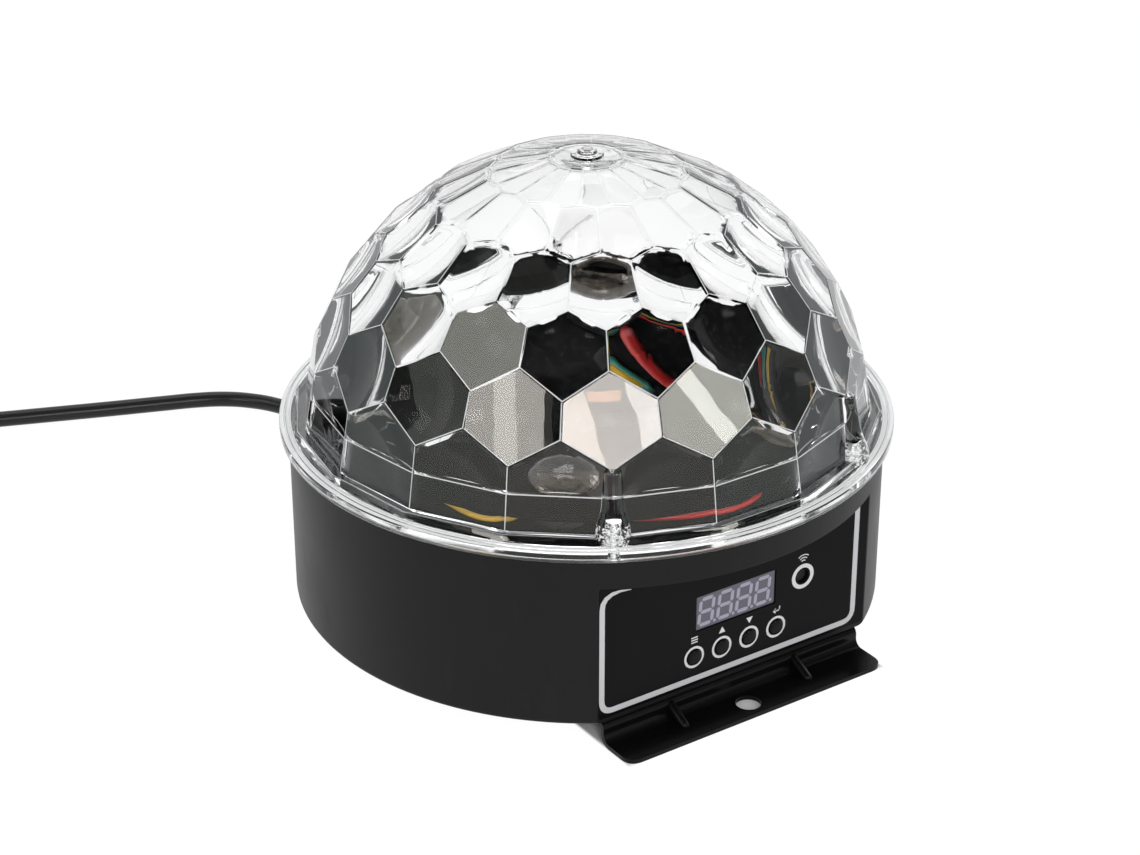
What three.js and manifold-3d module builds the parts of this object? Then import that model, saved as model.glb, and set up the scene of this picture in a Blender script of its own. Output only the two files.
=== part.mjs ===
// LED disco ball light: a clear faceted dome over a turning lens wheel, on a round black base
// with a flat control panel, carried by a bent steel bracket.
// Millimetres, +Z up, the panel faces -Y, origin on the table below the middle of the dome.
import * as THREE from 'three';
import { mergeVertices } from 'three/addons/utils/BufferGeometryUtils.js';
import { ConvexGeometry } from 'three/addons/geometries/ConvexGeometry.js';
import Module from 'manifold-3d';

const wasm = await Module();
wasm.setup();

// Shared fits and facets
const clearance = 0.3; // air between pieces that meet
const overrun = 2; // how far a cutter runs past what it cuts
const screwHoleGap = 0.3; // air round a screw's shank
const weld = 1e-4; // vertices nearer than this are one
const fullTurn = 2 * Math.PI;
const quarterTurn = Math.PI / 2;
const degree = Math.PI / 180;
const largeSteps = 54;
const innerSteps = 36;
const mediumSteps = 16;
const smallSteps = 12;
const tinySteps = 8;
const nearHalfShare = 0.48; // corner radius of a round-ended slot, of its width

// Base housing: a round shell whose upper band overhangs two flats, front and rear
const baseLift = 8.5; // underside of the base above the table
const baseRadius = 99.5;
const baseHeight = 59.5;
const baseWall = 2.4;
const baseEdgeRound = 1.8;
const flatInset = 16; // flats inside the base's round
const bandHeight = 10.5;
const lipThickness = 3;
const lipWidth = 10;
const postInset = 5; // centre of a bottom screw post from the inner wall
const postRadius = 4;
const postAngle = 60 * degree; // from the panel's normal, mirrored front to rear
const postHoleDepth = 12;

// Panel, in the plane of the front flat
const displayWidth = 32.4;
const displayHeight = 13;
const displayRise = 27.2; // centre above the base's underside
const displaySink = 0.4; // face below the panel
const buttonCount = 4;
const buttonPitch = 11;
const buttonRise = 12;
const buttonRadius = 2.7;
const buttonProud = 1.1;
const buttonDome = 0.35;
const buttonFlangeRadius = 3.7;
const buttonFlangeThickness = 0.9;
const buttonTravel = 0.5;
const buttonSlack = 0.3; // air left behind a pressed button
const microphoneGap = 10.8; // centre from the display's edge
const microphoneRise = 27.4;
const microphoneRadius = 2.5;
const microphoneSink = 1.1;
const microphoneBodyRadius = 4.8;
const microphoneBodyDepth = 5;
const boardGap = 6.2; // control board behind the wall
const boardThickness = 1.6;
const boardEndRun = 15; // control board past the microphone's centre
const boardHeight = 36;
const boardRise = 22;
const boardPegRadius = 2.4;
const boardPegInset = 4;
const switchSize = 6;
const switchHeight = 3.4;
const switchPlungerRadius = 1.7;

// Dome: flat facets tangent to one sphere, in rows that step round by half a facet
const flangeOverhang = 3;
const rimHeight = 3.7;
const stepHeight = 1.7;
const stepInset = 4.3; // corners of the faceted step inside the rim
const sphereDrop = 2; // centre of the sphere below the dome's underside
const domeInset = 5.3; // facets' sphere inside the base's radius
const domeWall = 2.6;
const facetsRound = 18;
const facetRows = 5;
const firstRowTilt = 26 * degree;
const rowStep = 12.67 * degree;
const skirtTilt = 10 * degree;
const skirtInset = 0.8; // skirt facets nearer the centre than the others
const crownInset = 0.25;
const knobRadius = 5.4;
const knobHeight = 1;
const knobRingRadius = 3.2;
const knobRingHeight = 2.2;
const knobDimpleRadius = 1.7;
const knobDimpleDepth = 1.4;
const bossInset = 5.3; // centre of a dome screw inside the base's radius
const bossAngle = 30 * degree;
const bossFootRadius = 5.6;
const bossWaistRadius = 3.7;
const bossTipRadius = 2.8;
const bossFootHeight = 7;
const bossWaistHeight = 12.5;
const bossHeight = 26;
const bossLean = 3; // top leans in towards the facets' lowest corner
const bossHoleDepth = 10;

// Screws
const screwHeadEdgeShare = 0.45;
const screwHeadTopShare = 0.7;
const domeScrewRadius = 1.5;
const domeScrewHeadRadius = 2.4;
const domeScrewHeadHeight = 1.8;
const domeScrewBite = 8.5; // length inside the boss
const bottomScrewRadius = 1.5;
const bottomScrewHeadRadius = 3;
const bottomScrewHeadHeight = 1.9;
const bottomScrewLength = 9;
const bracketScrewRadius = 2;
const bracketScrewHeadRadius = 3.9;
const bracketScrewHeadHeight = 2.4;
const bracketScrewAcross = 30;
const pressNutRadius = 4;
const pressNutHeight = 3.5;

// Deck, light sources and motor
const deckThickness = 2;
const starRadius = 10;
const starCorners = 6;
const starThickness = 1.6;
const starNotchRadius = 1.6;
const emitterBaseRadius = 4;
const emitterBaseHeight = 1.5;
const emitterRadius = 2.7;
const emitterRise = 1.9;
const sourceCount = 6;
const firstSourceAngle = -40.7 * degree; // from the panel's normal
const motorRadius = 25;
const motorHeight = 19;
const motorNoseRadius = 6;
const motorTurn = 45 * degree;
const motorEarReach = 37.5;
const motorEarRadius = 4.5;
const motorEarThickness = 1.5;
const motorScrewRadius = 1.5;
const motorScrewHeadRadius = 2.7;
const motorScrewHeadHeight = 1.6;
const motorScrewLength = 6;
const shaftRadius = 3;
const shaftSink = 7; // into the motor
const deckHoleRadius = 7;

// Lens wheel: an inverted dish with windows and lenses, turning over the light sources
const wheelSideGap = 8.6; // rim to the dome's inner surface
const wheelRise = 11; // top of the plate above the deck
const wheelPlate = 2.2;
const wheelSkirtGap = 4; // rim's lower edge above the deck
const wheelSkirtWall = 1.6;
const wheelEdgeRound = 0.9;
const wheelBandWidth = 5; // between the windows and the rim
const windowInnerRadius = 26;
const windowHalfAngle = 17.5 * degree;
const windowCorner = 4;
const lensInset = 11.5; // lens centres inside the wheel's rim
const lensRadius = 8.8;
const lensSeat = 1.2; // ledge under a lens
const lensSeatDepth = 1.2;
const lensEdge = 1.6;
const lensCrown = 3.6;
const hubRadius = 9;
const hubRise = 3;
const hubDepth = 4;
const spokeRibWidth = 1.6;
const spokeRibHeight = 2.6;
const wheelScrewHeadRadius = 4.4;
const wheelScrewHeadHeight = 2.2;

// Wires on the deck, seen through the wheel's windows
const wireRadius = 0.9;
const wirePitch = 2.8;
const wireCount = 3;
const wireHoleRing = 40; // hole in the deck where the wires come up
const wireHoleRadius = 5;
const wireSides = 8;
const wireSteps = 17;
const wireDrop = 9; // length that hangs below the deck
const wireTurnShare = 0.62; // of the way out to the light source, where a wire turns to it

// Power board inside the base
const powerBoardWidth = 92;
const powerBoardDepth = 56;
const powerBoardRise = 6;
const powerBoardPostRadius = 2.6;
const powerBoardBackInset = 41; // board's middle from the rear flat's inner face
const transformerWidth = 30;
const transformerDepth = 26;
const transformerHeight = 22;
const capacitorRadius = 6;
const capacitorHeight = 18;
const heatSinkWidth = 22;
const heatSinkThickness = 2;
const heatSinkHeight = 20;

// Bottom plate and its vents
const plateThickness = 1.5;
const ventCount = 6;
const ventWidth = 3;
const ventLength = 30;
const ventPitch = 7;
const ventInset = 29.1; // middle of each group from the inner wall

// Bracket: a steel strip bent down to a foot at each end
const bracketWidth = 103;
const bracketThickness = 1.5;
const bracketFootRun = 14.3; // a foot's edge past the flat
const bracketUpperBend = 1.2;
const bracketLowerBend = 2.8;
const bracketCorner = 5;
const bracketRibAcross = 25;
const bracketRibRadius = 1.6;
const bracketRibRun = 7;
const fixingHoleRadius = 4.2;
const fixingHoleInset = 6.4; // hole's centre from the foot's edge

// Sockets on the rear flat
const socketDrop = 16; // centre below the band
const socketEndInset = 16.4; // far socket's centre from the end of the rear flat
const socketPitch = 28;
const socketPlateWidth = 26;
const socketPlateHeight = 31;
const socketPlateThickness = 2;
const socketPlateCorner = 3;
const socketBarrelRadius = 11.3;
const socketBarrelDepth = 21;
const socketRimProud = 1.6;
const socketRimRadius = 10.6;
const socketCupRadius = 7.9;
const socketCupDepth = 12;
const socketPinRadius = 1.2;
const socketPinRing = 4.1;
const socketPinLength = 10;
const socketPinHoleRadius = 1.3;
const socketPinAngles = [30 * degree, 150 * degree, 270 * degree];

// Cord, its strain relief, its coil and its plug
const cordRadius = 3;
const cordRest = 3.1; // axis above the table
const cordSides = 10;
const cordSteps = 20;
const glandAcross = -17;
const glandRise = 11.5; // axis above the base's underside
const glandFootRadius = 6.2;
const glandTipRadius = 4;
const glandLength = 30;
const glandCollarRadius = 7.6;
const glandCollarThickness = 2.4;
const glandNeckRadius = 5;
const glandInnerLength = 9;
const glandGrooves = 5;
const glandGrooveDepth = 0.9;
const glandGrooveShare = 0.45; // of each step along the taper
const coilSides = 6;
const coilStepsPerTurn = 24;
const coilPitch = 7.1;
const coilMiddleRadius = 34.5;
const coilTurns = 4.31;
const coilTurnSoftness = 0.16; // turns over which the spiral reverses
const coilClimb = 0.25; // turns either side of the reversal over which it climbs a layer
const tailLevelRun = 24;
const tailDropRun = 16;
const tailSteps = 6;
const plugLength = 36;
const plugWidth = 34;
const plugHeight = 13.6;
const plugEdge = 1.7;
const plugNeckRadius = 5;
const plugNeckLength = 10;
const plugCornerRadius = 5;
const plugWaistShare = 0.62; // width at the cord's end
const plugWaistEndShare = 0.75; // length over which it widens
const plugPinRadius = 2;
const plugPinLength = 19;
const plugPinSpacing = 19;
// The free stretch, chosen by hand: out of the strain relief, down to the table and off to the left
const cordRoute = [
  [-17, 114.1, 20], [-17, 120.5, 20], [-17, 128.5, 18.7], [-16.9, 137, 15.2], [-16.7, 146, 10.3],
  [-16.4, 155, 6], [-16.5, 163, 3.7], [-17.3, 171, 3.1], [-21, 181.5, 3.1], [-27.6, 191.3, 3.1],
  [-35.6, 198.6, 3.1], [-45, 203.8, 3.1], [-55.4, 208, 3.1], [-75, 215.6, 3.1],
  [-98, 224.9, 3.1], [-122, 234.7, 3.1], [-145.5, 244.2, 3.1], [-155, 248.05, 3.1],
];

// Heights and radii that follow
const baseBottom = baseLift;
const baseTop = baseBottom + baseHeight;
const flatDistance = baseRadius - flatInset;
const innerRadius = baseRadius - baseWall;
const innerFlat = flatDistance - baseWall;
const innerFlatHalf = Math.sqrt(innerRadius ** 2 - innerFlat ** 2);
const ventAcross = innerRadius - ventInset;
const bandBottom = baseTop - bandHeight;
const bracketReach = flatDistance + bracketFootRun;
const deckTop = baseTop;
const deckBottom = deckTop - deckThickness;
const deckRadius = innerRadius - clearance;
const lipTop = deckBottom - clearance;
const lipBottom = lipTop - lipThickness;
const domeBottom = baseTop + clearance;
const flangeRadius = baseRadius + flangeOverhang;
const sphereHeight = domeBottom - sphereDrop;
const facetDistance = baseRadius - domeInset;
const domeInnerRadius = facetDistance - domeWall;
const crownHeight = sphereHeight + facetDistance - crownInset;
const bossRing = baseRadius - bossInset;
const postRing = innerRadius - postInset;
const wheelRadius = domeInnerRadius - wheelSideGap;
const wheelTop = deckTop + wheelRise;
const wheelBottom = deckTop + wheelSkirtGap;
const hubTop = wheelTop + hubRise;
const lensRing = wheelRadius - lensInset;
const panelBack = -flatDistance + baseWall;
const boardFront = panelBack + boardGap;
const boardBottom = baseBottom + boardRise - boardHeight / 2;
const buttonBack = panelBack + clearance + buttonFlangeThickness;
const plateTop = baseBottom + plateThickness;
const bracketTop = baseBottom - clearance;
const displayMiddle = baseBottom + displayRise;
const buttonMiddle = baseBottom + buttonRise;
const microphoneMiddle = baseBottom + microphoneRise;
const microphoneAcross = displayWidth / 2 + microphoneGap;
const boardWidth = 2 * (microphoneAcross + boardEndRun);
const socketMiddle = bandBottom - socketDrop;
const socketFarAcross = innerFlatHalf - socketEndInset;
const socketNearAcross = socketFarAcross - socketPitch;
const glandMiddle = baseBottom + glandRise;
const plugAxis = cordRest + plugHeight / 2 - cordRadius;

// Solids from geometries: position only, shared vertices, faces pointing out
function solidOf(geometry) {
  const bare = geometry.index ? geometry.toNonIndexed() : geometry.clone();
  for (const name of Object.keys(bare.attributes)) {
    if (name !== 'position') bare.deleteAttribute(name);
  }
  const merged = mergeVertices(bare, weld);
  const place = merged.attributes.position.array;
  const corner = [];
  for (let i = 0; i < merged.index.count; i += 3) {
    const [a, b, c] = [0, 1, 2].map((k) => merged.index.array[i + k]);
    if (a !== b && b !== c && c !== a) corner.push(a, b, c);
  }
  let volume = 0;
  const [p, q, r] = [new THREE.Vector3(), new THREE.Vector3(), new THREE.Vector3()];
  for (let i = 0; i < corner.length; i += 3) {
    p.fromArray(place, 3 * corner[i]);
    q.fromArray(place, 3 * corner[i + 1]);
    r.fromArray(place, 3 * corner[i + 2]);
    volume += p.dot(q.cross(r));
  }
  if (volume < 0) {
    for (let i = 0; i < corner.length; i += 3) {
      [corner[i + 1], corner[i + 2]] = [corner[i + 2], corner[i + 1]];
    }
  }
  return new wasm.Manifold(new wasm.Mesh({
    numProp: 3,
    vertProperties: new Float32Array(place),
    triVerts: new Uint32Array(corner),
  }));
}

function geometryOf(solid) {
  const mesh = solid.getMesh();
  const geometry = new THREE.BufferGeometry();
  geometry.setAttribute('position', new THREE.BufferAttribute(Float32Array.from(mesh.vertProperties), 3));
  geometry.setIndex(new THREE.BufferAttribute(Uint32Array.from(mesh.triVerts), 1));
  geometry.computeVertexNormals();
  return geometry;
}

const join = (first, ...rest) => rest.reduce((whole, piece) => whole.add(piece), first);
const cut = (first, ...rest) => rest.reduce((whole, piece) => whole.subtract(piece), first);

function block(x0, x1, y0, y1, z0, z1) {
  const geometry = new THREE.BoxGeometry(x1 - x0, y1 - y0, z1 - z0);
  return geometry.translate((x0 + x1) / 2, (y0 + y1) / 2, (z0 + z1) / 2);
}

// A round bar or cone standing on z0
function upright(lowRadius, highRadius, z0, z1, steps, x = 0, y = 0) {
  const geometry = new THREE.CylinderGeometry(highRadius, lowRadius, z1 - z0, steps);
  return geometry.rotateX(quarterTurn).translate(x, y, (z0 + z1) / 2);
}

// The same along Y, between y0 and y1
function level(nearRadius, farRadius, y0, y1, steps, x = 0, z = 0) {
  const geometry = new THREE.CylinderGeometry(farRadius, nearRadius, y1 - y0, steps);
  return geometry.translate(x, (y0 + y1) / 2, z);
}

// A profile of [radius, height] pairs turned about Z
function turned(profile, steps) {
  const points = profile.map(([radius, height]) => new THREE.Vector2(radius, height));
  return new THREE.LatheGeometry(points, steps).rotateX(quarterTurn);
}

// Rounded rectangle in X and Y, extruded up from z0
function roundedSlab(width, depth, corner, z0, z1, cornerSteps) {
  const [x, y] = [width / 2 - corner, depth / 2 - corner];
  const shape = new THREE.Shape();
  shape.absarc(x, y, corner, 0, quarterTurn);
  shape.absarc(-x, y, corner, quarterTurn, Math.PI);
  shape.absarc(-x, -y, corner, Math.PI, 3 * quarterTurn);
  shape.absarc(x, -y, corner, 3 * quarterTurn, fullTurn);
  const slab = new THREE.ExtrudeGeometry(shape, {
    depth: z1 - z0, bevelEnabled: false, curveSegments: cornerSteps,
  });
  return slab.translate(0, 0, z0);
}

// A place on a ring, with the angle taken from the panel's normal towards +X
const onRing = (radius, angle) => [radius * Math.sin(angle), -radius * Math.cos(angle)];

const model = new THREE.Group();

function add(name, geometry, colour, roughness = 0.5, metalness = 0, opacity = 1) {
  const material = new THREE.MeshStandardMaterial({
    color: colour, roughness, metalness, opacity, transparent: opacity < 1,
  });
  const mesh = new THREE.Mesh(geometry, material);
  mesh.name = name;
  model.add(mesh);
  return mesh;
}

const bossAngles = [-bossAngle, bossAngle, Math.PI - bossAngle, Math.PI + bossAngle];
const postAngles = [-postAngle, postAngle, Math.PI - postAngle, Math.PI + postAngle];
const sourceAngles = Array.from({ length: sourceCount },
  (_, i) => firstSourceAngle + (i * fullTurn) / sourceCount);
const wireHoleAngle = firstSourceAngle + (1.5 * fullTurn) / sourceCount;
const motorScrewPlaces = [motorTurn, motorTurn + Math.PI].map(
  (angle) => onRing(motorEarReach - motorEarRadius, angle));
const buttonPlaces = Array.from({ length: buttonCount },
  (_, i) => (i - (buttonCount - 1) / 2) * buttonPitch);
const socketPlaces = [socketNearAcross, socketFarAcross];
const boardPegs = [-1, 1].flatMap((sx) => [-1, 1].map((sz) => [
  sx * (boardWidth / 2 - boardPegInset),
  baseBottom + boardRise + sz * (boardHeight / 2 - boardPegInset)]));

// Base housing
function roundWithFlats(radius, distance, z0, z1) {
  const drum = solidOf(upright(radius, radius, z0, z1, innerSteps));
  const reach = 2 * radius;
  return cut(drum,
    solidOf(block(-reach, reach, -reach, -distance, z0 - overrun, z1 + overrun)),
    solidOf(block(-reach, reach, distance, reach, z0 - overrun, z1 + overrun)));
}

function roundedDrum(radius, z0, z1, round) {
  const profile = [[0, z0], [radius - round, z0]];
  const steps = 2;
  for (let i = 1; i <= steps; i += 1) {
    const angle = (i / steps) * quarterTurn;
    profile.push([radius - round + round * Math.sin(angle), z0 + round - round * Math.cos(angle)]);
  }
  profile.push([radius, z1], [0, z1]);
  return turned(profile, largeSteps);
}

function baseHousing() {
  const reach = 2 * baseRadius;
  const drum = solidOf(roundedDrum(baseRadius, baseBottom, baseTop, baseEdgeRound));
  const ledgeTop = bandBottom + baseWall;
  const throat = innerRadius - lipWidth;
  const above = baseTop + overrun;
  let shell = cut(drum,
    solidOf(block(-reach, reach, -reach, -flatDistance, -overrun, bandBottom)),
    solidOf(block(-reach, reach, flatDistance, reach, -overrun, bandBottom)),
    roundWithFlats(innerRadius, innerFlat, baseBottom - overrun, lipBottom),
    solidOf(upright(innerRadius, innerRadius, ledgeTop, lipBottom, innerSteps)),
    solidOf(upright(throat, throat, ledgeTop, above, innerSteps)),
    solidOf(upright(innerRadius, innerRadius, lipTop, above, innerSteps)));
  for (const angle of bossAngles) {
    const hole = domeScrewRadius + screwHoleGap;
    shell = shell.subtract(solidOf(upright(
      hole, hole, lipBottom - overrun, lipTop + overrun, tinySteps, ...onRing(bossRing, angle))));
  }
  for (const angle of postAngles) {
    const place = onRing(postRing, angle);
    const hole = bottomScrewRadius + screwHoleGap;
    const foot = plateTop + clearance;
    shell = shell.add(solidOf(upright(
      postRadius, postRadius, foot, lipBottom + lipThickness / 2, smallSteps, ...place)));
    shell = shell.subtract(solidOf(upright(
      hole, hole, foot - overrun, foot + postHoleDepth, tinySteps, ...place)));
  }
  for (const [x, z] of boardPegs) {
    shell = shell.add(solidOf(level(boardPegRadius, boardPegRadius,
      panelBack - baseWall / 2, boardFront - clearance, tinySteps, x, z)));
  }
  const frontWall = [-flatDistance - overrun, panelBack + overrun];
  shell = shell.subtract(solidOf(block(-displayWidth / 2, displayWidth / 2, ...frontWall,
    displayMiddle - displayHeight / 2, displayMiddle + displayHeight / 2)));
  for (const x of buttonPlaces) {
    const hole = buttonRadius + clearance;
    shell = shell.subtract(solidOf(level(hole, hole, ...frontWall, smallSteps, x, buttonMiddle)));
  }
  const soundHole = microphoneRadius + clearance;
  shell = shell.subtract(solidOf(level(
    soundHole, soundHole, ...frontWall, smallSteps, microphoneAcross, microphoneMiddle)));
  const rearWall = [innerFlat - overrun, flatDistance + overrun];
  for (const x of socketPlaces) {
    const hole = socketBarrelRadius + clearance;
    shell = shell.subtract(solidOf(level(hole, hole, ...rearWall, mediumSteps, x, socketMiddle)));
  }
  const neck = glandNeckRadius + clearance;
  return shell.subtract(solidOf(level(neck, neck, ...rearWall, smallSteps, glandAcross, glandMiddle)));
}

add('base_housing', geometryOf(baseHousing()), 0x1b1a1a, 0.42);

// Bottom plate, its vents and its screws
function bottomPlate() {
  let plate = roundWithFlats(innerRadius - clearance, innerFlat - clearance, baseBottom, plateTop);
  for (const side of [-1, 1]) {
    const x = side * bracketScrewAcross;
    const hole = bracketScrewRadius + screwHoleGap;
    plate = plate.add(solidOf(upright(
      pressNutRadius, pressNutRadius, baseBottom, plateTop + pressNutHeight, tinySteps, x)));
    plate = plate.subtract(solidOf(upright(
      hole, hole, baseBottom - overrun, plateTop + pressNutHeight + overrun, tinySteps, x)));
    for (let i = 0; i < ventCount; i += 1) {
      const y = (i - (ventCount - 1) / 2) * ventPitch;
      const slot = roundedSlab(ventLength, ventWidth, ventWidth * nearHalfShare,
        baseBottom - overrun, plateTop + overrun, 1);
      plate = plate.subtract(solidOf(slot.translate(side * ventAcross, y, 0)));
    }
  }
  for (const angle of postAngles) {
    const hole = bottomScrewRadius + screwHoleGap;
    plate = plate.subtract(solidOf(upright(
      hole, hole, baseBottom - overrun, plateTop + overrun, tinySteps, ...onRing(postRing, angle))));
  }
  return plate;
}

add('bottom_plate', geometryOf(bottomPlate()), 0x2a2a2b, 0.45, 0.6);

// A pan head screw along Z, head end at zHead, tip at zTip
function screw(radius, headRadius, headHeight, zHead, zTip, x, y) {
  const up = Math.sign(zHead - zTip);
  const seat = zHead - up * headHeight;
  const profile = [[0, zTip], [radius, zTip + up * radius], [radius, seat], [headRadius, seat],
    [headRadius, seat + up * headHeight * screwHeadEdgeShare], [headRadius * screwHeadTopShare, zHead],
    [0, zHead]];
  return geometryOf(solidOf(turned(profile, tinySteps))).translate(x, y, 0);
}

postAngles.forEach((angle, i) => {
  const zHead = baseBottom - clearance - bottomScrewHeadHeight;
  add(`bottom_screw_${i + 1}`, screw(bottomScrewRadius, bottomScrewHeadRadius, bottomScrewHeadHeight,
    zHead, zHead + bottomScrewHeadHeight + bottomScrewLength, ...onRing(postRing, angle)),
  0x8b8d90, 0.35, 0.9);
});

// Bracket: the strip's outline seen from the side, in Y and Z, then its width
function bracketOutline() {
  const [wall, t] = [flatDistance, bracketThickness];
  const [upper, lower] = [bracketUpperBend, bracketLowerBend];
  const shape = new THREE.Shape();
  shape.moveTo(-(wall - t - upper), bracketTop);
  shape.lineTo(wall - t - upper, bracketTop);
  shape.absarc(wall - t - upper, bracketTop - t - upper, upper + t, quarterTurn, 0, true);
  shape.absarc(wall + lower, t + lower, lower, Math.PI, 3 * quarterTurn, false);
  shape.lineTo(bracketReach, t);
  shape.lineTo(bracketReach, 0);
  shape.absarc(wall + lower, t + lower, lower + t, 3 * quarterTurn, Math.PI, true);
  shape.absarc(wall - t - upper, bracketTop - t - upper, upper, 0, quarterTurn, false);
  shape.absarc(-(wall - t - upper), bracketTop - t - upper, upper, quarterTurn, Math.PI, false);
  shape.absarc(-(wall + lower), t + lower, lower + t, 0, -quarterTurn, true);
  shape.lineTo(-bracketReach, 0);
  shape.lineTo(-bracketReach, t);
  shape.absarc(-(wall + lower), t + lower, lower, -quarterTurn, 0, false);
  shape.absarc(-(wall - t - upper), bracketTop - t - upper, upper + t, Math.PI, quarterTurn, true);
  return shape;
}

function bracket() {
  const strip = new THREE.ExtrudeGeometry(bracketOutline(), {
    depth: bracketWidth, bevelEnabled: false, curveSegments: 3,
  });
  strip.applyMatrix4(new THREE.Matrix4().makeBasis(
    new THREE.Vector3(0, 1, 0), new THREE.Vector3(0, 0, 1), new THREE.Vector3(1, 0, 0)));
  strip.translate(-bracketWidth / 2, 0, 0);
  let body = solidOf(strip).intersect(solidOf(roundedSlab(
    bracketWidth, 2 * bracketReach, bracketCorner, -overrun, bracketTop + overrun, 4)));
  const bendTop = bracketTop - bracketThickness - bracketUpperBend;
  for (const side of [-1, 1]) {
    for (const across of [-bracketRibAcross, bracketRibAcross]) {
      const low = new THREE.Vector3(
        across, side * (flatDistance + bracketRibRun), bracketRibRadius + clearance / 2);
      const high = new THREE.Vector3(across, side * (flatDistance - bracketThickness / 2), bendTop);
      const middle = low.clone().add(high).multiplyScalar(0.5);
      const rib = new THREE.CapsuleGeometry(bracketRibRadius, low.distanceTo(high), 1, tinySteps);
      rib.applyQuaternion(new THREE.Quaternion().setFromUnitVectors(
        new THREE.Vector3(0, 1, 0), high.clone().sub(low).normalize()));
      body = body.add(solidOf(rib.translate(middle.x, middle.y, middle.z)));
    }
    const hole = bracketScrewRadius + screwHoleGap;
    body = cut(body,
      solidOf(upright(fixingHoleRadius, fixingHoleRadius,
        -overrun, baseBottom, mediumSteps, 0, side * (bracketReach - fixingHoleInset))),
      solidOf(upright(hole, hole, -overrun, baseBottom, tinySteps, side * bracketScrewAcross)));
  }
  return body;
}

add('bracket', geometryOf(bracket()), 0x161616, 0.38, 0.5);
[-1, 1].forEach((side, i) => {
  const zHead = bracketTop - bracketThickness - clearance - bracketScrewHeadHeight;
  add(`bracket_screw_${i + 1}`, screw(bracketScrewRadius, bracketScrewHeadRadius, bracketScrewHeadHeight,
    zHead, plateTop + pressNutHeight + clearance, side * bracketScrewAcross, 0), 0x8b8d90, 0.35, 0.9);
});

// Dome: the place where three facet planes meet is a corner
function facetPlane(tilt, distance, turn) {
  const [x, y] = onRing(Math.cos(tilt), turn);
  return new THREE.Plane(new THREE.Vector3(x, y, Math.sin(tilt)), -distance);
}

function meet(first, second, third) {
  const crossed = [
    second.normal.clone().cross(third.normal).multiplyScalar(-first.constant),
    third.normal.clone().cross(first.normal).multiplyScalar(-second.constant),
    first.normal.clone().cross(second.normal).multiplyScalar(-third.constant),
  ];
  const scale = first.normal.dot(second.normal.clone().cross(third.normal));
  return crossed[0].add(crossed[1]).add(crossed[2]).divideScalar(scale);
}

function facetedCap() {
  const pitch = fullTurn / facetsRound;
  const plane = (row, k) => (row === 0
    ? facetPlane(skirtTilt, facetDistance - skirtInset, k * pitch)
    : facetPlane(firstRowTilt + (row - 1) * rowStep, facetDistance, k * pitch));
  const crown = facetPlane(quarterTurn, facetDistance - crownInset, 0);
  const floor = facetPlane(-quarterTurn, -sphereDrop - rimHeight, 0);
  const corners = [];
  for (let k = 0; k < facetsRound; k += 1) {
    corners.push(meet(plane(0, k), plane(0, k + 1), floor));
    for (let row = 0; row < facetRows; row += 1) {
      const here = k + (row % 2) / 2;
      corners.push(meet(plane(row, here), plane(row, here + 1), plane(row + 1, here + 0.5)));
      corners.push(meet(plane(row, here), plane(row + 1, here - 0.5), plane(row + 1, here + 0.5)));
    }
    const last = k + (facetRows % 2) / 2;
    corners.push(meet(plane(facetRows, last), plane(facetRows, last + 1), crown));
  }
  return new ConvexGeometry(corners).translate(0, 0, sphereHeight);
}

// A clear column under a facet corner: stout at the foot, waisted, its top leaning inwards
function bossColumn(angle) {
  const profile = [[0, 0], [bossFootRadius, 0], [bossFootRadius, bossFootHeight],
    [bossWaistRadius, bossWaistHeight], [bossTipRadius, bossHeight], [0, bossHeight]];
  const column = turned(profile, smallSteps);
  const place = column.attributes.position;
  for (let i = 0; i < place.count; i += 1) {
    const lean = Math.max(place.getZ(i) - bossFootHeight, 0) / (bossHeight - bossFootHeight);
    place.setY(i, place.getY(i) + lean * bossLean);
  }
  return column.translate(0, -bossRing, domeBottom).rotateZ(angle);
}

function dome() {
  const rimTop = domeBottom + rimHeight;
  const stepTop = rimTop + stepHeight;
  const edge = 2 * clearance;
  const profile = [[0, domeBottom], [flangeRadius, domeBottom], [flangeRadius, rimTop - edge],
    [flangeRadius - edge, rimTop], [0, rimTop]];
  const flange = solidOf(turned(profile, largeSteps));
  const corner = flangeRadius - stepInset;
  const step = upright(corner, corner, domeBottom + edge, stepTop, facetsRound);
  step.rotateZ(fullTurn / facetsRound / 2);
  const ringTop = crownHeight + knobRingHeight;
  const knob = turned([[0, crownHeight - domeWall / 2], [knobRadius, crownHeight - domeWall / 2],
    [knobRadius, crownHeight + knobHeight], [knobRingRadius, crownHeight + knobHeight],
    [knobRingRadius, ringTop], [knobDimpleRadius, ringTop],
    [knobDimpleRadius, ringTop - knobDimpleDepth], [0, ringTop - knobDimpleDepth]], mediumSteps);
  const columns = bossAngles.map((angle) => solidOf(bossColumn(angle)));
  const ball = new THREE.SphereGeometry(domeInnerRadius, 2 * facetsRound, facetsRound);
  const hollow = solidOf(ball.rotateX(quarterTurn).translate(0, 0, sphereHeight));
  const holes = bossAngles.map((angle) => {
    const hole = domeScrewRadius + screwHoleGap;
    return solidOf(upright(hole, hole, domeBottom - overrun, domeBottom + bossHoleDepth,
      tinySteps, ...onRing(bossRing, angle)));
  });
  return cut(join(flange, solidOf(step), solidOf(facetedCap()), solidOf(knob), ...columns),
    hollow, ...holes);
}

add('dome', geometryOf(dome()), 0xf2f6fa, 0.05, 0, 0.35);

bossAngles.forEach((angle, i) => {
  const zHead = lipBottom - clearance - domeScrewHeadHeight;
  add(`dome_screw_${i + 1}`, screw(domeScrewRadius, domeScrewHeadRadius, domeScrewHeadHeight,
    zHead, domeBottom + domeScrewBite, ...onRing(bossRing, angle)), 0xb9bcc0, 0.3, 0.9);
});

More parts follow.
